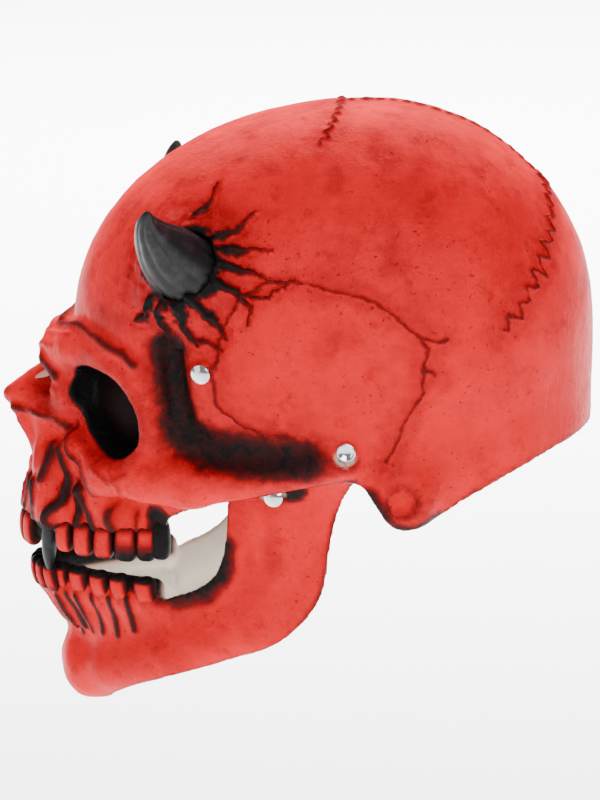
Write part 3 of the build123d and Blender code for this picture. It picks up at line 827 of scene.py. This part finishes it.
def modelJaw():
    clay = Clay((0, -150, -134), (84, 20, 18), jaw["step"])
    clay.field = jawForm(*clay.everywhere())
    clay.add(ball((0, -121, -116), (22, 10, 12)), 8)
    clay.add(ball((13, -117, -122), (12, 9, 9)), 8)
    clay.add(roll([(30, -106, -112), (44, -78, -104), (56, -44, -88)], [7, 8, 7]), 18)
    clay.cut(ball((28, -126, -100), (12, 8, 9)), 8)
    clay.cut(roll([(72, -34, -26), (71, -34, -42), (69, -33, -58)], [6.5, 5.0, 2.0]), 5)
    outside = clay.field.copy()
    wall = jaw["wall"]
    shell = np.abs(clay.field + wall / 2) - wall / 2
    outline = outlineDistance(rounded(jaw["outline"], 2), clay.axes[1][:, None], clay.axes[2][None, :])
    clay.field = smoothMax(shell, outline[None, :, :], 2.4)
    # tooth ridge, then a crown and a root for each lower tooth
    row = [(max(0, jawSide(f, -78) - 5.5), -f, -73) for f in (137, 135, 131, 124, 115, 105, 95, 86)]
    clay.add(roll(row, [4.6] * len(row)), 3)
    clay.add(roll([(p[0] + 0.6, p[1], -79) for p in row], [5.4] * len(row)), 4)
    for forward, side, half in lowerTeeth:
        root = []
        for level, share in ((-80, 0.85), (-88, 0.7), (-96, 0.3)):
            ahead = forward - float(jawReach(-77) - jawReach(level))
            root.append((side or jawSide(ahead, level) - 1.8, -ahead + (2.2 if side or forward > 140 else 0), level))
        clay.add(roll(root, [half * 0.85, half * 0.7, half * 0.3]), 2.4)
    # ear disc for the hinge
    ear, outward = (jaw["ear"], 0, 0), (1, 0, 0)
    clay.add(plug(ear, outward, -wall, 0, jaw["earRadius"]), 1)
    clay.cut(plug(ear, outward, 0, 9, 18), 0.5)
    clay.cut(plug(ear, outward, -9, 9, rivetHoles["hinge"]), 0.3)
    place, facing = jawPin
    clay.cut(plug(place, facing, 0, 6, 6.5), 1)
    clay.cut(plug(place, facing, -9, 6, rivetHoles["jaw"]), 0.3)
    field = clay.field
    clay.field = outside
    return clay, clay.cast("jawShell", field)


jawClay, jawMesh = modelJaw()
print("jaw cast", len(jawMesh.vertices))


# between the roots of the lower teeth: (forward, top, foot)
furrows = [(131, -80, -98), (124.5, -80, -99), (115.6, -79, -97), (106, -79, -96), (97, -78, -92), (136, -82, -104)]


def finishJaw(mesh):
    relaxed(mesh, 1)
    deep = jawClay.read(meshPoints(mesh))
    relaxed(mesh, 5, (deep < -0.5) & (deep > -2.6) & (meshPoints(mesh)[:, 1] > -82))
    points, normals = meshPoints(mesh), meshNormals(mesh)
    folded = mirrored(points)
    outer = smoothStep(-2.0, -0.8, jawClay.read(points))
    hollow = cavity(mesh, 12)
    push = 0.4 * lumps(points, 24, 31) + 0.2 * lumps(points, 9, 32) + 0.08 * lumps(points, 3.6, 34)
    soft = lumps(points, 7, 41, 3)
    furrow = np.zeros(len(points))
    for forward, top, foot in furrows:
        side = archPoint(forward, 41, 146)
        line = [(side, -forward, top), (side + 1, -forward + 1, (top + foot) / 2), (side, -forward + 3, foot)]
        away = lineOnSkin(folded, chin, line)
        furrow = np.maximum(furrow, np.exp(-(away / 2.0) ** 2))
    push -= 1.2 * furrow
    push *= outer
    setPoints(mesh, points + normals * push[:, None])
    ridge = smoothStep(-79.5, -76.5, points[:, 2]) * smoothStep(-80, -84, points[:, 1])
    soot = ridge * np.maximum(smoothStep(-76, -72, points[:, 2]), 1 - outer)
    outer = np.maximum(outer, ridge)
    none = np.zeros(len(points))
    coats = Coats(folded, soot=soot, wash=smoothStep(0.12, 0.7, hollow), crack=none, gloss=none,
                  worn=smoothStep(0.15, 0.7, -hollow))
    coats.smear(jawSmears, soft, none)
    coats.lay("soot", 0.75 * smoothStep(0.4, 0.95, furrow))
    coats.lay("wash", 0.9 * furrow)
    coats.keep(mesh, outer)
    return mesh


jawMesh = finishJaw(jawMesh)
jawShell = placed("jawShell", jawMesh, "jaw", "jaw_shell")
print("jaw sculpted", len(jawMesh.vertices))


class Wire:
    # a socket that can be used in a sum
    def __init__(self, paint, socket):
        self.paint, self.socket = paint, socket

    def maths(self, operation, first, second=None, clamp=False):
        values = {0: first} if second is None else {0: first, 1: second}
        return self.paint.node("ShaderNodeMath", {"operation": operation, "use_clamp": clamp}, values)

    def __add__(self, other): return self.maths("ADD", self, other)
    def __radd__(self, other): return self.maths("ADD", other, self)
    def __sub__(self, other): return self.maths("SUBTRACT", self, other)
    def __rsub__(self, other): return self.maths("SUBTRACT", other, self)
    def __mul__(self, other): return self.maths("MULTIPLY", self, other)
    def __rmul__(self, other): return self.maths("MULTIPLY", other, self)
    def most(self, other): return self.maths("MAXIMUM", self, other)
    def least(self, other): return self.maths("MINIMUM", self, other)

    def between(self, low, high):
        settings = {"interpolation_type": "SMOOTHSTEP"}
        return self.paint.node("ShaderNodeMapRange", settings, {"Value": self, "From Min": low, "From Max": high})


class Paint:
    def __init__(self, name, **constants):
        self.material = bpy.data.materials.new(name)
        self.material.use_nodes = True
        self.tree = self.material.node_tree
        self.shader = self.tree.nodes["Principled BSDF"]
        for key, value in constants.items():
            self.shader.inputs[key.replace("_", " ")].default_value = value

    def node(self, kind, settings, values, out=0):
        n = self.tree.nodes.new(kind)
        for key, value in settings.items():
            setattr(n, key, value)
        for key, value in values.items():
            if isinstance(value, Wire):
                self.tree.links.new(value.socket, n.inputs[key])
            else:
                n.inputs[key].default_value = value
        return Wire(self, n.outputs[out])

    def place(self, scale=(1, 1, 1)):
        where = self.node("ShaderNodeTexCoord", {}, {}, "Object")
        return self.node("ShaderNodeMapping", {}, {"Vector": where, "Scale": scale})

    def grain(self, scale, detail=3.0, roughness=0.55, stretch=(1, 1, 1)):
        values = {"Vector": self.place(stretch), "Scale": scale, "Detail": detail, "Roughness": roughness}
        return self.node("ShaderNodeTexNoise", {}, values, "Fac")

    def bands(self, direction, where, scale, distortion=0.0):
        values = {"Vector": where, "Scale": scale, "Distortion": distortion}
        return self.node("ShaderNodeTexWave", {"bands_direction": direction}, values, "Fac")

    def held(self, name):
        return self.node("ShaderNodeAttribute", {"attribute_name": name}, {}, "Fac")

    def mix(self, amount, first, second):
        n = self.tree.nodes.new("ShaderNodeMix")
        n.data_type = "RGBA"
        for index, value in ((0, amount), (6, first), (7, second)):
            if isinstance(value, Wire):
                self.tree.links.new(value.socket, n.inputs[index])
            elif index:
                n.inputs[index].default_value = (*value, 1)
            else:
                n.inputs[index].default_value = value
        return Wire(self, n.outputs[2])

    def bump(self, height, strength, distance):
        return self.node("ShaderNodeBump", {}, {"Height": height, "Strength": strength, "Distance": distance})

    def feed(self, **wires):
        for key, wire in wires.items():
            self.tree.links.new(wire.socket, self.shader.inputs[key.replace("_", " ")])
        return self.material


latexTones = {"red": (0.77, 0.004, 0.011), "bright": (0.87, 0.010, 0.018), "deep": (0.36, 0.002, 0.002),
              "wash": (0.055, 0.003, 0.0025), "crackBrown": (0.035, 0.003, 0.0025), "soot": (0.006, 0.0055, 0.0055),
              "pink": (0.82, 0.045, 0.045), "lining": (0.62, 0.54, 0.44)}


def redLatex():
    p = Paint("redLatex", IOR=1.45, Specular_IOR_Level=0.11)
    tone = latexTones
    gloss, soot = p.held("gloss"), p.held("soot")
    mottle = p.grain(34, 5, 0.6).between(0.36, 0.66)
    cloud = p.grain(11, 3, 0.5).between(0.35, 0.7)
    smudge = p.grain(75, 7, 0.68).between(0.53, 0.72)
    specks = p.grain(520, 3, 0.6).between(0.63, 0.74) * p.grain(45, 4, 0.6).between(0.40, 0.62)
    streak = p.grain(260, 4, 0.6, (1, 1.0, 0.16)).between(0.57, 0.72)
    colour = p.mix(mottle * 0.45, tone["red"], tone["deep"])
    colour = p.mix(cloud * 0.35, colour, tone["bright"])
    colour = p.mix(streak * 0.16, colour, tone["pink"])
    colour = p.mix(p.held("worn") * 0.4, colour, tone["bright"])
    colour = p.mix(smudge * 0.55, colour, tone["deep"])
    colour = p.mix(specks * 0.75, colour, tone["wash"])
    broken = p.grain(240, 5, 0.65).between(0.3, 0.6)
    wash = p.held("wash") * (0.55 + broken * 0.45)
    colour = p.mix(wash * 0.92, colour, tone["wash"])
    colour = p.mix(p.held("crack") * (0.75 + broken * 0.25), colour, tone["crackBrown"])
    colour = p.mix((soot * 2.2).least(1.0) * (0.45 + broken * 0.4), colour, tone["wash"])
    colour = p.mix((soot * 1.35 - 0.35 * broken * (1.0 - gloss)).least(1.0).most(0.0), colour, tone["soot"])
    colour = p.mix(p.held("lining"), colour, tone["lining"])
    rough = 0.42 + 0.16 * p.grain(140, 4) + 0.10 * smudge - 0.27 * gloss
    height = p.grain(900, 3, 0.6) * 0.4 + specks * -1.0 + p.grain(180, 5, 0.62) * 1.2 + streak * 0.3
    return p.feed(Base_Color=colour, Roughness=rough, Normal=p.bump(height, 0.75, 0.0008))


def blackLatex():
    p = Paint("blackLatex", IOR=1.47, Specular_IOR_Level=0.32)
    scuff = p.grain(160, 5, 0.65).between(0.45, 0.7)
    colour = p.mix(scuff * 0.8, (0.007, 0.007, 0.008), (0.026, 0.027, 0.031))
    colour = p.mix(p.held("groove"), colour, (0.006, 0.006, 0.007))
    rough = 0.34 + 0.2 * p.grain(220, 4)
    height = p.grain(700, 4, 0.6) * 0.4 + p.grain(120, 4) * 0.6
    return p.feed(Base_Color=colour, Roughness=rough, Normal=p.bump(height, 0.4, 0.0005))


def chrome():
    p = Paint("chrome", Metallic=1.0)
    marks = p.grain(900, 3, 0.6, (1, 1, 0.2)).between(0.5, 0.75)
    colour = p.mix(marks * 0.3, (0.82, 0.82, 0.83), (0.6, 0.6, 0.62))
    return p.feed(Base_Color=colour, Roughness=0.10 + 0.14 * marks)


def padCloth():
    p = Paint("padCloth", Sheen_Weight=0.3, Sheen_Roughness=0.5)
    knit = p.grain(1500, 2, 0.5)
    tone = p.grain(60, 4, 0.6).between(0.35, 0.7)
    colour = p.mix(tone * 0.7, (0.022, 0.022, 0.025), (0.045, 0.045, 0.05))
    return p.feed(Base_Color=colour, Roughness=0.8 + 0.15 * knit, Normal=p.bump(knit, 0.6, 0.0006))


def weave(name, dark, pale, pitch):
    # ribbed elastic, its ribs across the strap's own length
    p = Paint(name, Sheen_Weight=0.25)
    ribs = p.bands("Z", p.place(), pitch, 0.6)
    fuzz = p.grain(1800, 2, 0.5)
    return p.feed(Base_Color=p.mix(ribs * 0.6 + fuzz * 0.2, dark, pale), Roughness=0.75 + 0.2 * fuzz,
                  Normal=p.bump(ribs + fuzz * 0.4, 0.6, 0.0005))


def meshScreen():
    # open net: dark threads with gaps between them
    p = Paint("meshScreen", Specular_IOR_Level=0.08)
    where = p.node("ShaderNodeUVMap", {"uv_map": "net"}, {})
    threads = p.bands("X", where, 0.32).most(p.bands("Y", where, 0.32))
    colour = p.mix(threads, (0.004, 0.002, 0.002), (0.012, 0.004, 0.004))
    return p.feed(Base_Color=colour, Roughness=0.5 + 0.2 * threads, Alpha=threads.between(0.16, 0.30))


finishes = {"red": redLatex(), "black": blackLatex(), "chrome": chrome(), "pad": padCloth(),
            "elastic": weave("elasticWeave", (0.010, 0.010, 0.011), (0.05, 0.05, 0.055), 220),
            "hook": weave("hookTape", (0.012, 0.012, 0.013), (0.04, 0.04, 0.045), 520), "net": meshScreen()}


def dress(o, finish):
    o.data.materials.clear()
    o.data.materials.append(finishes[finish])
    return o


dress(skullShell, "red")
dress(jawShell, "red")
print("materials ready")


horn = {"around": 72, "along": 44, "ridges": 9, "grooveDepth": 1.3, "twist": 0.9, "root": (59.0, -64.5, 70.5),
        "bend": (87.0, -88.0, 95.0),
        # share of the way along the horn, then its radius there
        "shares": [0, 0.12, 0.25, 0.38, 0.5, 0.62, 0.75, 0.87, 0.95, 0.985, 1.0],
        "radii": [16.4, 16.2, 14.8, 12.6, 10.0, 7.6, 5.4, 3.4, 2.1, 1.3, 0.1]}
fang = {"around": 28, "along": 20, "half": 4.7, "thick": 3.7, "widest": 0.35}


def wrapped(around, along, place):
    # a grid rolled into a closed skin: place(u, v) gives each point in millimetres
    bm = bmesh.new()
    bmesh.ops.create_grid(bm, x_segments=around, y_segments=along, size=0.5)
    for v in bm.verts:
        v.co = Vector(place((v.co.x + 0.5) % 1.0 if abs(v.co.x - 0.5) > 1e-6 else 0.0, v.co.y + 0.5)) * mm
    bmesh.ops.remove_doubles(bm, verts=bm.verts, dist=1e-6)
    rims = [e for e in bm.edges if e.is_boundary]
    if rims:
        bmesh.ops.holes_fill(bm, edges=rims, sides=0)
    bmesh.ops.recalc_face_normals(bm, faces=bm.faces)
    return bm


def bentPath(base, bend, tip):
    # the middle of a bent rod at a share of its length, with two directions square to it
    base, bend, tip = Vector(base), Vector(bend), Vector(tip)

    def at(v):
        centre = base * (1 - v) ** 2 + bend * 2 * v * (1 - v) + tip * v ** 2
        heading = ((bend - base) * (1 - v) + (tip - bend) * v).normalized()
        side = heading.cross(Vector((0.2, 1, 0.1))).normalized()
        return centre, side, heading.cross(side)
    return at


def mirrorX(bm):
    bmesh.ops.scale(bm, vec=(-1, 1, 1), verts=bm.verts)
    bmesh.ops.reverse_faces(bm, faces=bm.faces)


def hornPiece(side, mirror):
    low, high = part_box("horn_left")
    tip = Vector((high.x / mm - 1.6, low.y / mm + 2.0, high.z / mm - 1.2))
    at = bentPath(horn["root"], horn["bend"], tip)
    depths = {}

    def place(u, v):
        centre, across, over = at(min(v, 1.0))
        turn = 2 * math.pi * u
        wave = turn * horn["ridges"] / 2 + horn["twist"] * v * 3 + 0.7 * math.sin(turn * 2 + 3 * v)
        deep = horn["grooveDepth"] * (1 - abs(math.sin(wave)) ** 0.6) * (1 - v) ** 0.35
        radius = float(np.interp(v, horn["shares"], horn["radii"]))
        uneven = 0.3 * noise.noise(Vector((math.cos(turn) * 2, math.sin(turn) * 2, v * 6)))
        radius = max(0.01, radius - deep * min(1, radius / 5) + uneven)
        p = centre + (across * math.cos(turn) + over * math.sin(turn)) * radius
        depths[tuple(round(c, 3) for c in p)] = deep / horn["grooveDepth"]
        return p
    bm = wrapped(horn["around"], horn["along"], place)
    layer = bm.verts.layers.float.new("groove")
    for v in bm.verts:
        v[layer] = depths.get(tuple(round(c / mm, 3) for c in v.co), 0.0) ** 1.5
    if mirror:
        mirrorX(bm)
    return dress(fromBmesh("horn" + side, bm, "skull", "horn_" + side.lower()), "black")


def fangPiece(side, mirror):
    low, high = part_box("fang_left")
    middle = (low + high) / (2 * mm)

    def place(u, v):
        turn = 2 * math.pi * u
        level = high.z / mm - 0.3 + (low.z - high.z) / mm * v * 0.99
        if v < fang["widest"]:
            share = math.sin(math.pi * (0.30 + 0.2 * min(v / fang["widest"], 1)))
        else:
            share = max(0.04, 1 - ((v - fang["widest"]) / 0.66) ** 2.0) ** 0.7
        share *= 1 - 0.06 * abs(math.sin(turn * 2.5))
        return (middle.x + fang["half"] * share * math.cos(turn),
                middle.y - 0.54 * v + fang["thick"] * share * math.sin(turn), level)
    bm = wrapped(fang["around"], fang["along"], place)
    if mirror:
        mirrorX(bm)
    return dress(fromBmesh("fang" + side, bm, "skull", "fang_" + side.lower()), "black")


for side, mirror in (("Left", False), ("Right", True)):
    hornPiece(side, mirror)
    fangPiece(side, mirror)
print("horns and fangs ready")


# powers: how square a crown is across, through and up; splayed and slanted: how lower crowns lean
crown = {"thick": 4.3, "around": 28, "rings": 20, "powers": (0.66, 0.8, 0.6), "splayed": 7, "slanted": -13,
         "upperGum": -44.0, "upperBackGum": -41.0, "lowerGum": -81.0, "lowerEdge": -66.8, "jawLevel": -77}


def addCrown(bm, layers, place, half, low, high, turn, lean, slant, paint):
    # a rounded block, a little narrower at the gum, with paint gathered at its edges
    made = bmesh.ops.create_uvsphere(bm, u_segments=crown["around"], v_segments=crown["rings"], radius=1)["verts"]
    middle, tall = (low + high) / 2, (high - low) / 2
    turned = Matrix.Rotation(math.radians(turn), 3, "Z") @ Matrix.Rotation(math.radians(lean), 3, "X") \
        @ Matrix.Rotation(math.radians(slant), 3, "Y")
    for v in made:
        x, y, z = (math.copysign(abs(c) ** power, c) for c, power in zip(v.co, crown["powers"]))
        gum = z if high > -50 else -z
        ripple = 1 + 0.05 * noise.noise(Vector((place[0], place[1], z * 2)))
        width, depth = half * (1 - 0.10 * max(gum, 0)) * ripple, crown["thick"] * (1 - 0.12 * abs(gum))
        spot = turned @ Vector((width * x, depth * y, tall * z)) + Vector((place[0], place[1], middle))
        side = abs(x)
        v[layers["wash"]] = max(0.95 * smoothStep(0.42, 0.86, side), 0.9 * smoothStep(0.30, 0.8, gum))
        v[layers["soot"]] = max(smoothStep(*paint, spot.z), 0.75 * smoothStep(0.62, 0.93, side),
                                0.5 * smoothStep(0.5, 0.9, gum))
        v.co = spot * mm
    return made


def teethPiece(name, body, rows):
    bm = bmesh.new()
    layers = {key: bm.verts.layers.float.new(key) for key in ("wash", "soot")}
    for row in rows:
        for side in (1, -1):
            if side < 0 and row[0][0] < 1:
                continue
            made = addCrown(bm, layers, *row)
            if side < 0:
                bmesh.ops.scale(bm, vec=(-1, 1, 1), verts=made)
                bmesh.ops.reverse_faces(bm, faces=list({f for v in made for f in v.link_faces}))
    return dress(fromBmesh(name, bm, body), "red")


upperRows, lowerRows = [], []
for forward, side, half, edge in upperTeeth:
    px = side or archPoint(forward, *upperArch)
    turn = side * 2.8 if side else archHeading(forward, *upperArch)
    # black starts higher on the back crowns, and the last one is black all over
    paint = (-49, -60) if 86 < forward < 103 else (-20, -30) if forward < 86 else (-58, -61.5)
    gum = crown["upperGum"] if forward > 86 else crown["upperBackGum"]
    upperRows.append(((px, -forward), half + 0.35, edge, gum, turn, 0, 0, paint))
level = crown["jawLevel"]
for forward, side, half in lowerTeeth:
    px = side or max(0.0, jawSide(forward, level) - 1.4)
    turn = side * 2.6
    if not side and px >= 1:
        turn = math.degrees(math.atan2(2, jawSide(forward - 1, level) - jawSide(forward + 1, level)))
    half += 0.2 if forward > 125 else 0.55
    lowerRows.append(((px, -forward + 0.4), half, crown["lowerGum"], crown["lowerEdge"], turn, crown["splayed"],
                      crown["slanted"], (-70.6, -68.9)))
teethPiece("upperTeeth", "skull", upperRows)
teethPiece("lowerTeeth", "jaw", lowerRows)
print("teeth ready")


rivet = {"radius": 4.35, "height": 1.7, "steps": 48}


def capPiece(name, spot, body, nodes, mirror, dished=False):
    # a turned cap: rolled lip, then a dome or a dished middle
    place, facing = spot
    r, h = rivet["radius"], rivet["height"]
    if dished:
        profile = [(0, 0.75), (1.0, 0.78), (1.9, 0.95), (2.5, 1.25), (3.0, 1.5), (3.5, h), (3.9, 1.62), (4.2, 1.25),
                   (r, 0.8), (r, 0.35), (4.2, 0.0)]
    else:
        profile = [(0, h), (1.2, h - 0.06), (2.3, h - 0.26), (3.2, h - 0.6), (3.8, h - 0.98), (4.15, 0.55),
                   (r, 0.45), (r, 0.2), (4.2, 0.0)]
    bm = bmesh.new()
    points = [bm.verts.new((x * mm, 0, z * mm)) for x, z in profile] + [bm.verts.new((0, 0, 0))]
    for a, b in zip(points, points[1:]):
        bm.edges.new((a, b))
    bmesh.ops.spin(bm, geom=bm.verts[:] + bm.edges[:], cent=(0, 0, 0), axis=(0, 0, 1), angle=2 * math.pi,
                   steps=rivet["steps"], use_merge=True)
    bmesh.ops.remove_doubles(bm, verts=bm.verts, dist=1e-6)
    bmesh.ops.recalc_face_normals(bm, faces=bm.faces)
    turn = Vector((0, 0, 1)).rotation_difference(Vector(facing)).to_matrix().to_4x4()
    bmesh.ops.transform(bm, matrix=Matrix.Translation(Vector(place) * mm) @ turn, verts=bm.verts)
    if mirror:
        mirrorX(bm)
    return dress(fromBmesh(name, bm, body, *nodes), "chrome")


for side, mirror in (("left", False), ("right", True)):
    for name, spot, body in (("temple", temple, "skull"), ("hinge", hinge, "skull"), ("jaw", jawPin, "jaw")):
        capPiece(name + "Rivet" + side.title(), spot, body, [name + "_rivet_" + side], mirror, dished=name == "hinge")
        dress(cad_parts[name + "_cap_" + side], "chrome")
print("rivets ready")


def declareSheet(piece):
    # the flat cut's points are read, and the piece is handed back as it is
    mesh = piece.data
    points = meshPoints(mesh) * mm
    return piece


# each screen and the direction across it
screens = {"eye_screen_left": (0.766, 0.643, 0), "eye_screen_right": (-0.766, 0.643, 0), "nose_screen": (1, 0, 0)}


def netPiece(node, across):
    # a flat net cut from the CAD screen's outline, with its own map for the weave
    bm = weldedCopy(node)
    layer = bm.loops.layers.uv.new("net")
    for f in bm.faces:
        for loop in f.loops:
            loop[layer].uv = (loop.vert.co.dot(across) / mm, loop.vert.co.z / mm)
    piece = dress(fromBmesh(pieceName(node), bm, "skull", node), "net")
    return declareSheet(piece)


for node, across in screens.items():
    netPiece(node, Vector(across))


# how full each pad is, and how its edges are rounded
pads = {"brow_pad": 0.9, "crown_pad": 0.9, "side_pad_left": 0.85, "side_pad_right": 0.85, "nape_pad": 0.85,
        "chin_pad": 0.85}
padding = {"voxel": 2.8, "rounds": 14, "factor": 0.7}


def padPiece(node, body):
    def add(o):
        blocks = o.modifiers.new("blocks", "REMESH")
        blocks.mode = "VOXEL"
        blocks.voxel_size = padding["voxel"] * mm
        soft = o.modifiers.new("soft", "SMOOTH")
        soft.iterations = padding["rounds"]
        soft.factor = padding["factor"]
    bm = weldedCopy(node)
    mesh = bpy.data.meshes.new("padding")
    bm.to_mesh(mesh)
    bm.free()
    piece = placed(pieceName(node), withModifiers("padding", mesh, add), body, node)
    dress(piece, "pad")
    return piece


for node, fill in pads.items():
    padPiece(node, "jaw" if node == "chin_pad" else "skull")
dress(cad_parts["head_strap"], "elastic")
for node in ("strap_anchor_left", "strap_anchor_right"):
    dress(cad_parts[node], "hook")


# levels in millimetres at which the elastic is cut across, and the two ends of its stretch in metres
elastic = {"levels": (-24, 34, 3), "start": (0, -0.0575, 0.027), "end": (0, -0.034, -0.019)}


def elasticPiece(side):
    # the jaw's return elastic, which stretches between its two rivets as the jaw opens, copied here from its CAD piece
    # and cut across at even levels
    bm = weldedCopy("jaw_elastic_" + side)
    for level in range(*elastic["levels"]):
        bmesh.ops.bisect_plane(bm, geom=bm.verts[:] + bm.edges[:] + bm.faces[:], plane_co=(0, 0, level * mm),
                               plane_no=(0, 0, 1))
    mesh = bpy.data.meshes.new("jawElastic")
    bm.to_mesh(mesh)
    bm.free()
    o = linked("jawElastic" + side.title(), mesh)
    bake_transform(o)
    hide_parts("jaw_elastic_" + side)
    return dress(o, "elastic")


for side in ("left", "right"):
    elasticPiece(side)
print("pads and straps ready")


# degrees, metres to the camera, then millimetres of shift and of picture height
view = {"azimuth": 92.0, "elevation": 12.8, "distance": 1.8, "across": -22.7, "up": 4.35, "height": 360.0}


def makeCamera():
    azimuth, elevation = math.radians(view["azimuth"]), math.radians(view["elevation"])
    level = math.cos(elevation)
    back = Vector((math.sin(azimuth) * level, -math.cos(azimuth) * level, math.sin(elevation)))
    right = Vector((math.cos(azimuth), math.sin(azimuth), 0))
    upward = back.cross(right)
    centre = right * view["across"] * mm + upward * view["up"] * mm
    data = bpy.data.cameras.new("camera")
    camera = linked("camera", data)
    camera.matrix_world = Matrix.Translation(centre + back * view["distance"]) \
        @ Matrix((right, upward, back)).transposed().to_4x4()
    data.sensor_width = 36
    data.lens = 36 * view["distance"] / (view["height"] * mm)
    data.clip_end = 50
    bpy.context.scene.camera = camera


# each light: where it is, what it faces, its size and its power
lights = {"keyLight": ((1.7, 0.45, 0.75), (0, 0, 0), 1.2, 25.5), "fillLight": ((1.0, -1.5, 0.35), (0, 0, 0), 1.4, 6),
          "topLight": ((0.1, -0.1, 1.6), (0, 0, 0), 1.2, 3), "floorLight": ((-2.9, 0, 1.6), (-3.0, 0, -1), 4.2, 1050)}
surround = {"light": 0.25, "floor": -0.35, "tone": 0.86}


def areaLight(name, place, target, size, power):
    data = bpy.data.lights.new(name, "AREA")
    data.shape = "DISK"
    data.size = size
    data.energy = power
    light = linked(name, data)
    light.location = place
    light.rotation_euler = (Vector(target) - Vector(place)).to_track_quat("-Z", "Y").to_euler()
    # the light for the floor isn't mirrored in the latex
    light.visible_glossy = name != "floorLight"


makeCamera()
for name, values in lights.items():
    areaLight(name, *values)

world = bpy.data.worlds.new("studio")
world.use_nodes = True
world.node_tree.nodes["Background"].inputs["Color"].default_value = (1, 1, 1, 1)
world.node_tree.nodes["Background"].inputs["Strength"].default_value = surround["light"]
bpy.context.scene.world = world

bm = bmesh.new()
bmesh.ops.create_grid(bm, x_segments=1, y_segments=1, size=6)
bmesh.ops.translate(bm, vec=(0, 0, surround["floor"]), verts=bm.verts)
floorMesh = bpy.data.meshes.new("floor")
bm.to_mesh(floorMesh)
bm.free()
paper = Paint("paper", Base_Color=(*[surround["tone"]] * 3, 1), Roughness=0.9, Specular_IOR_Level=0.1)
floorMesh.materials.append(paper.material)
linked("floor", floorMesh)
print("camera and lights ready")
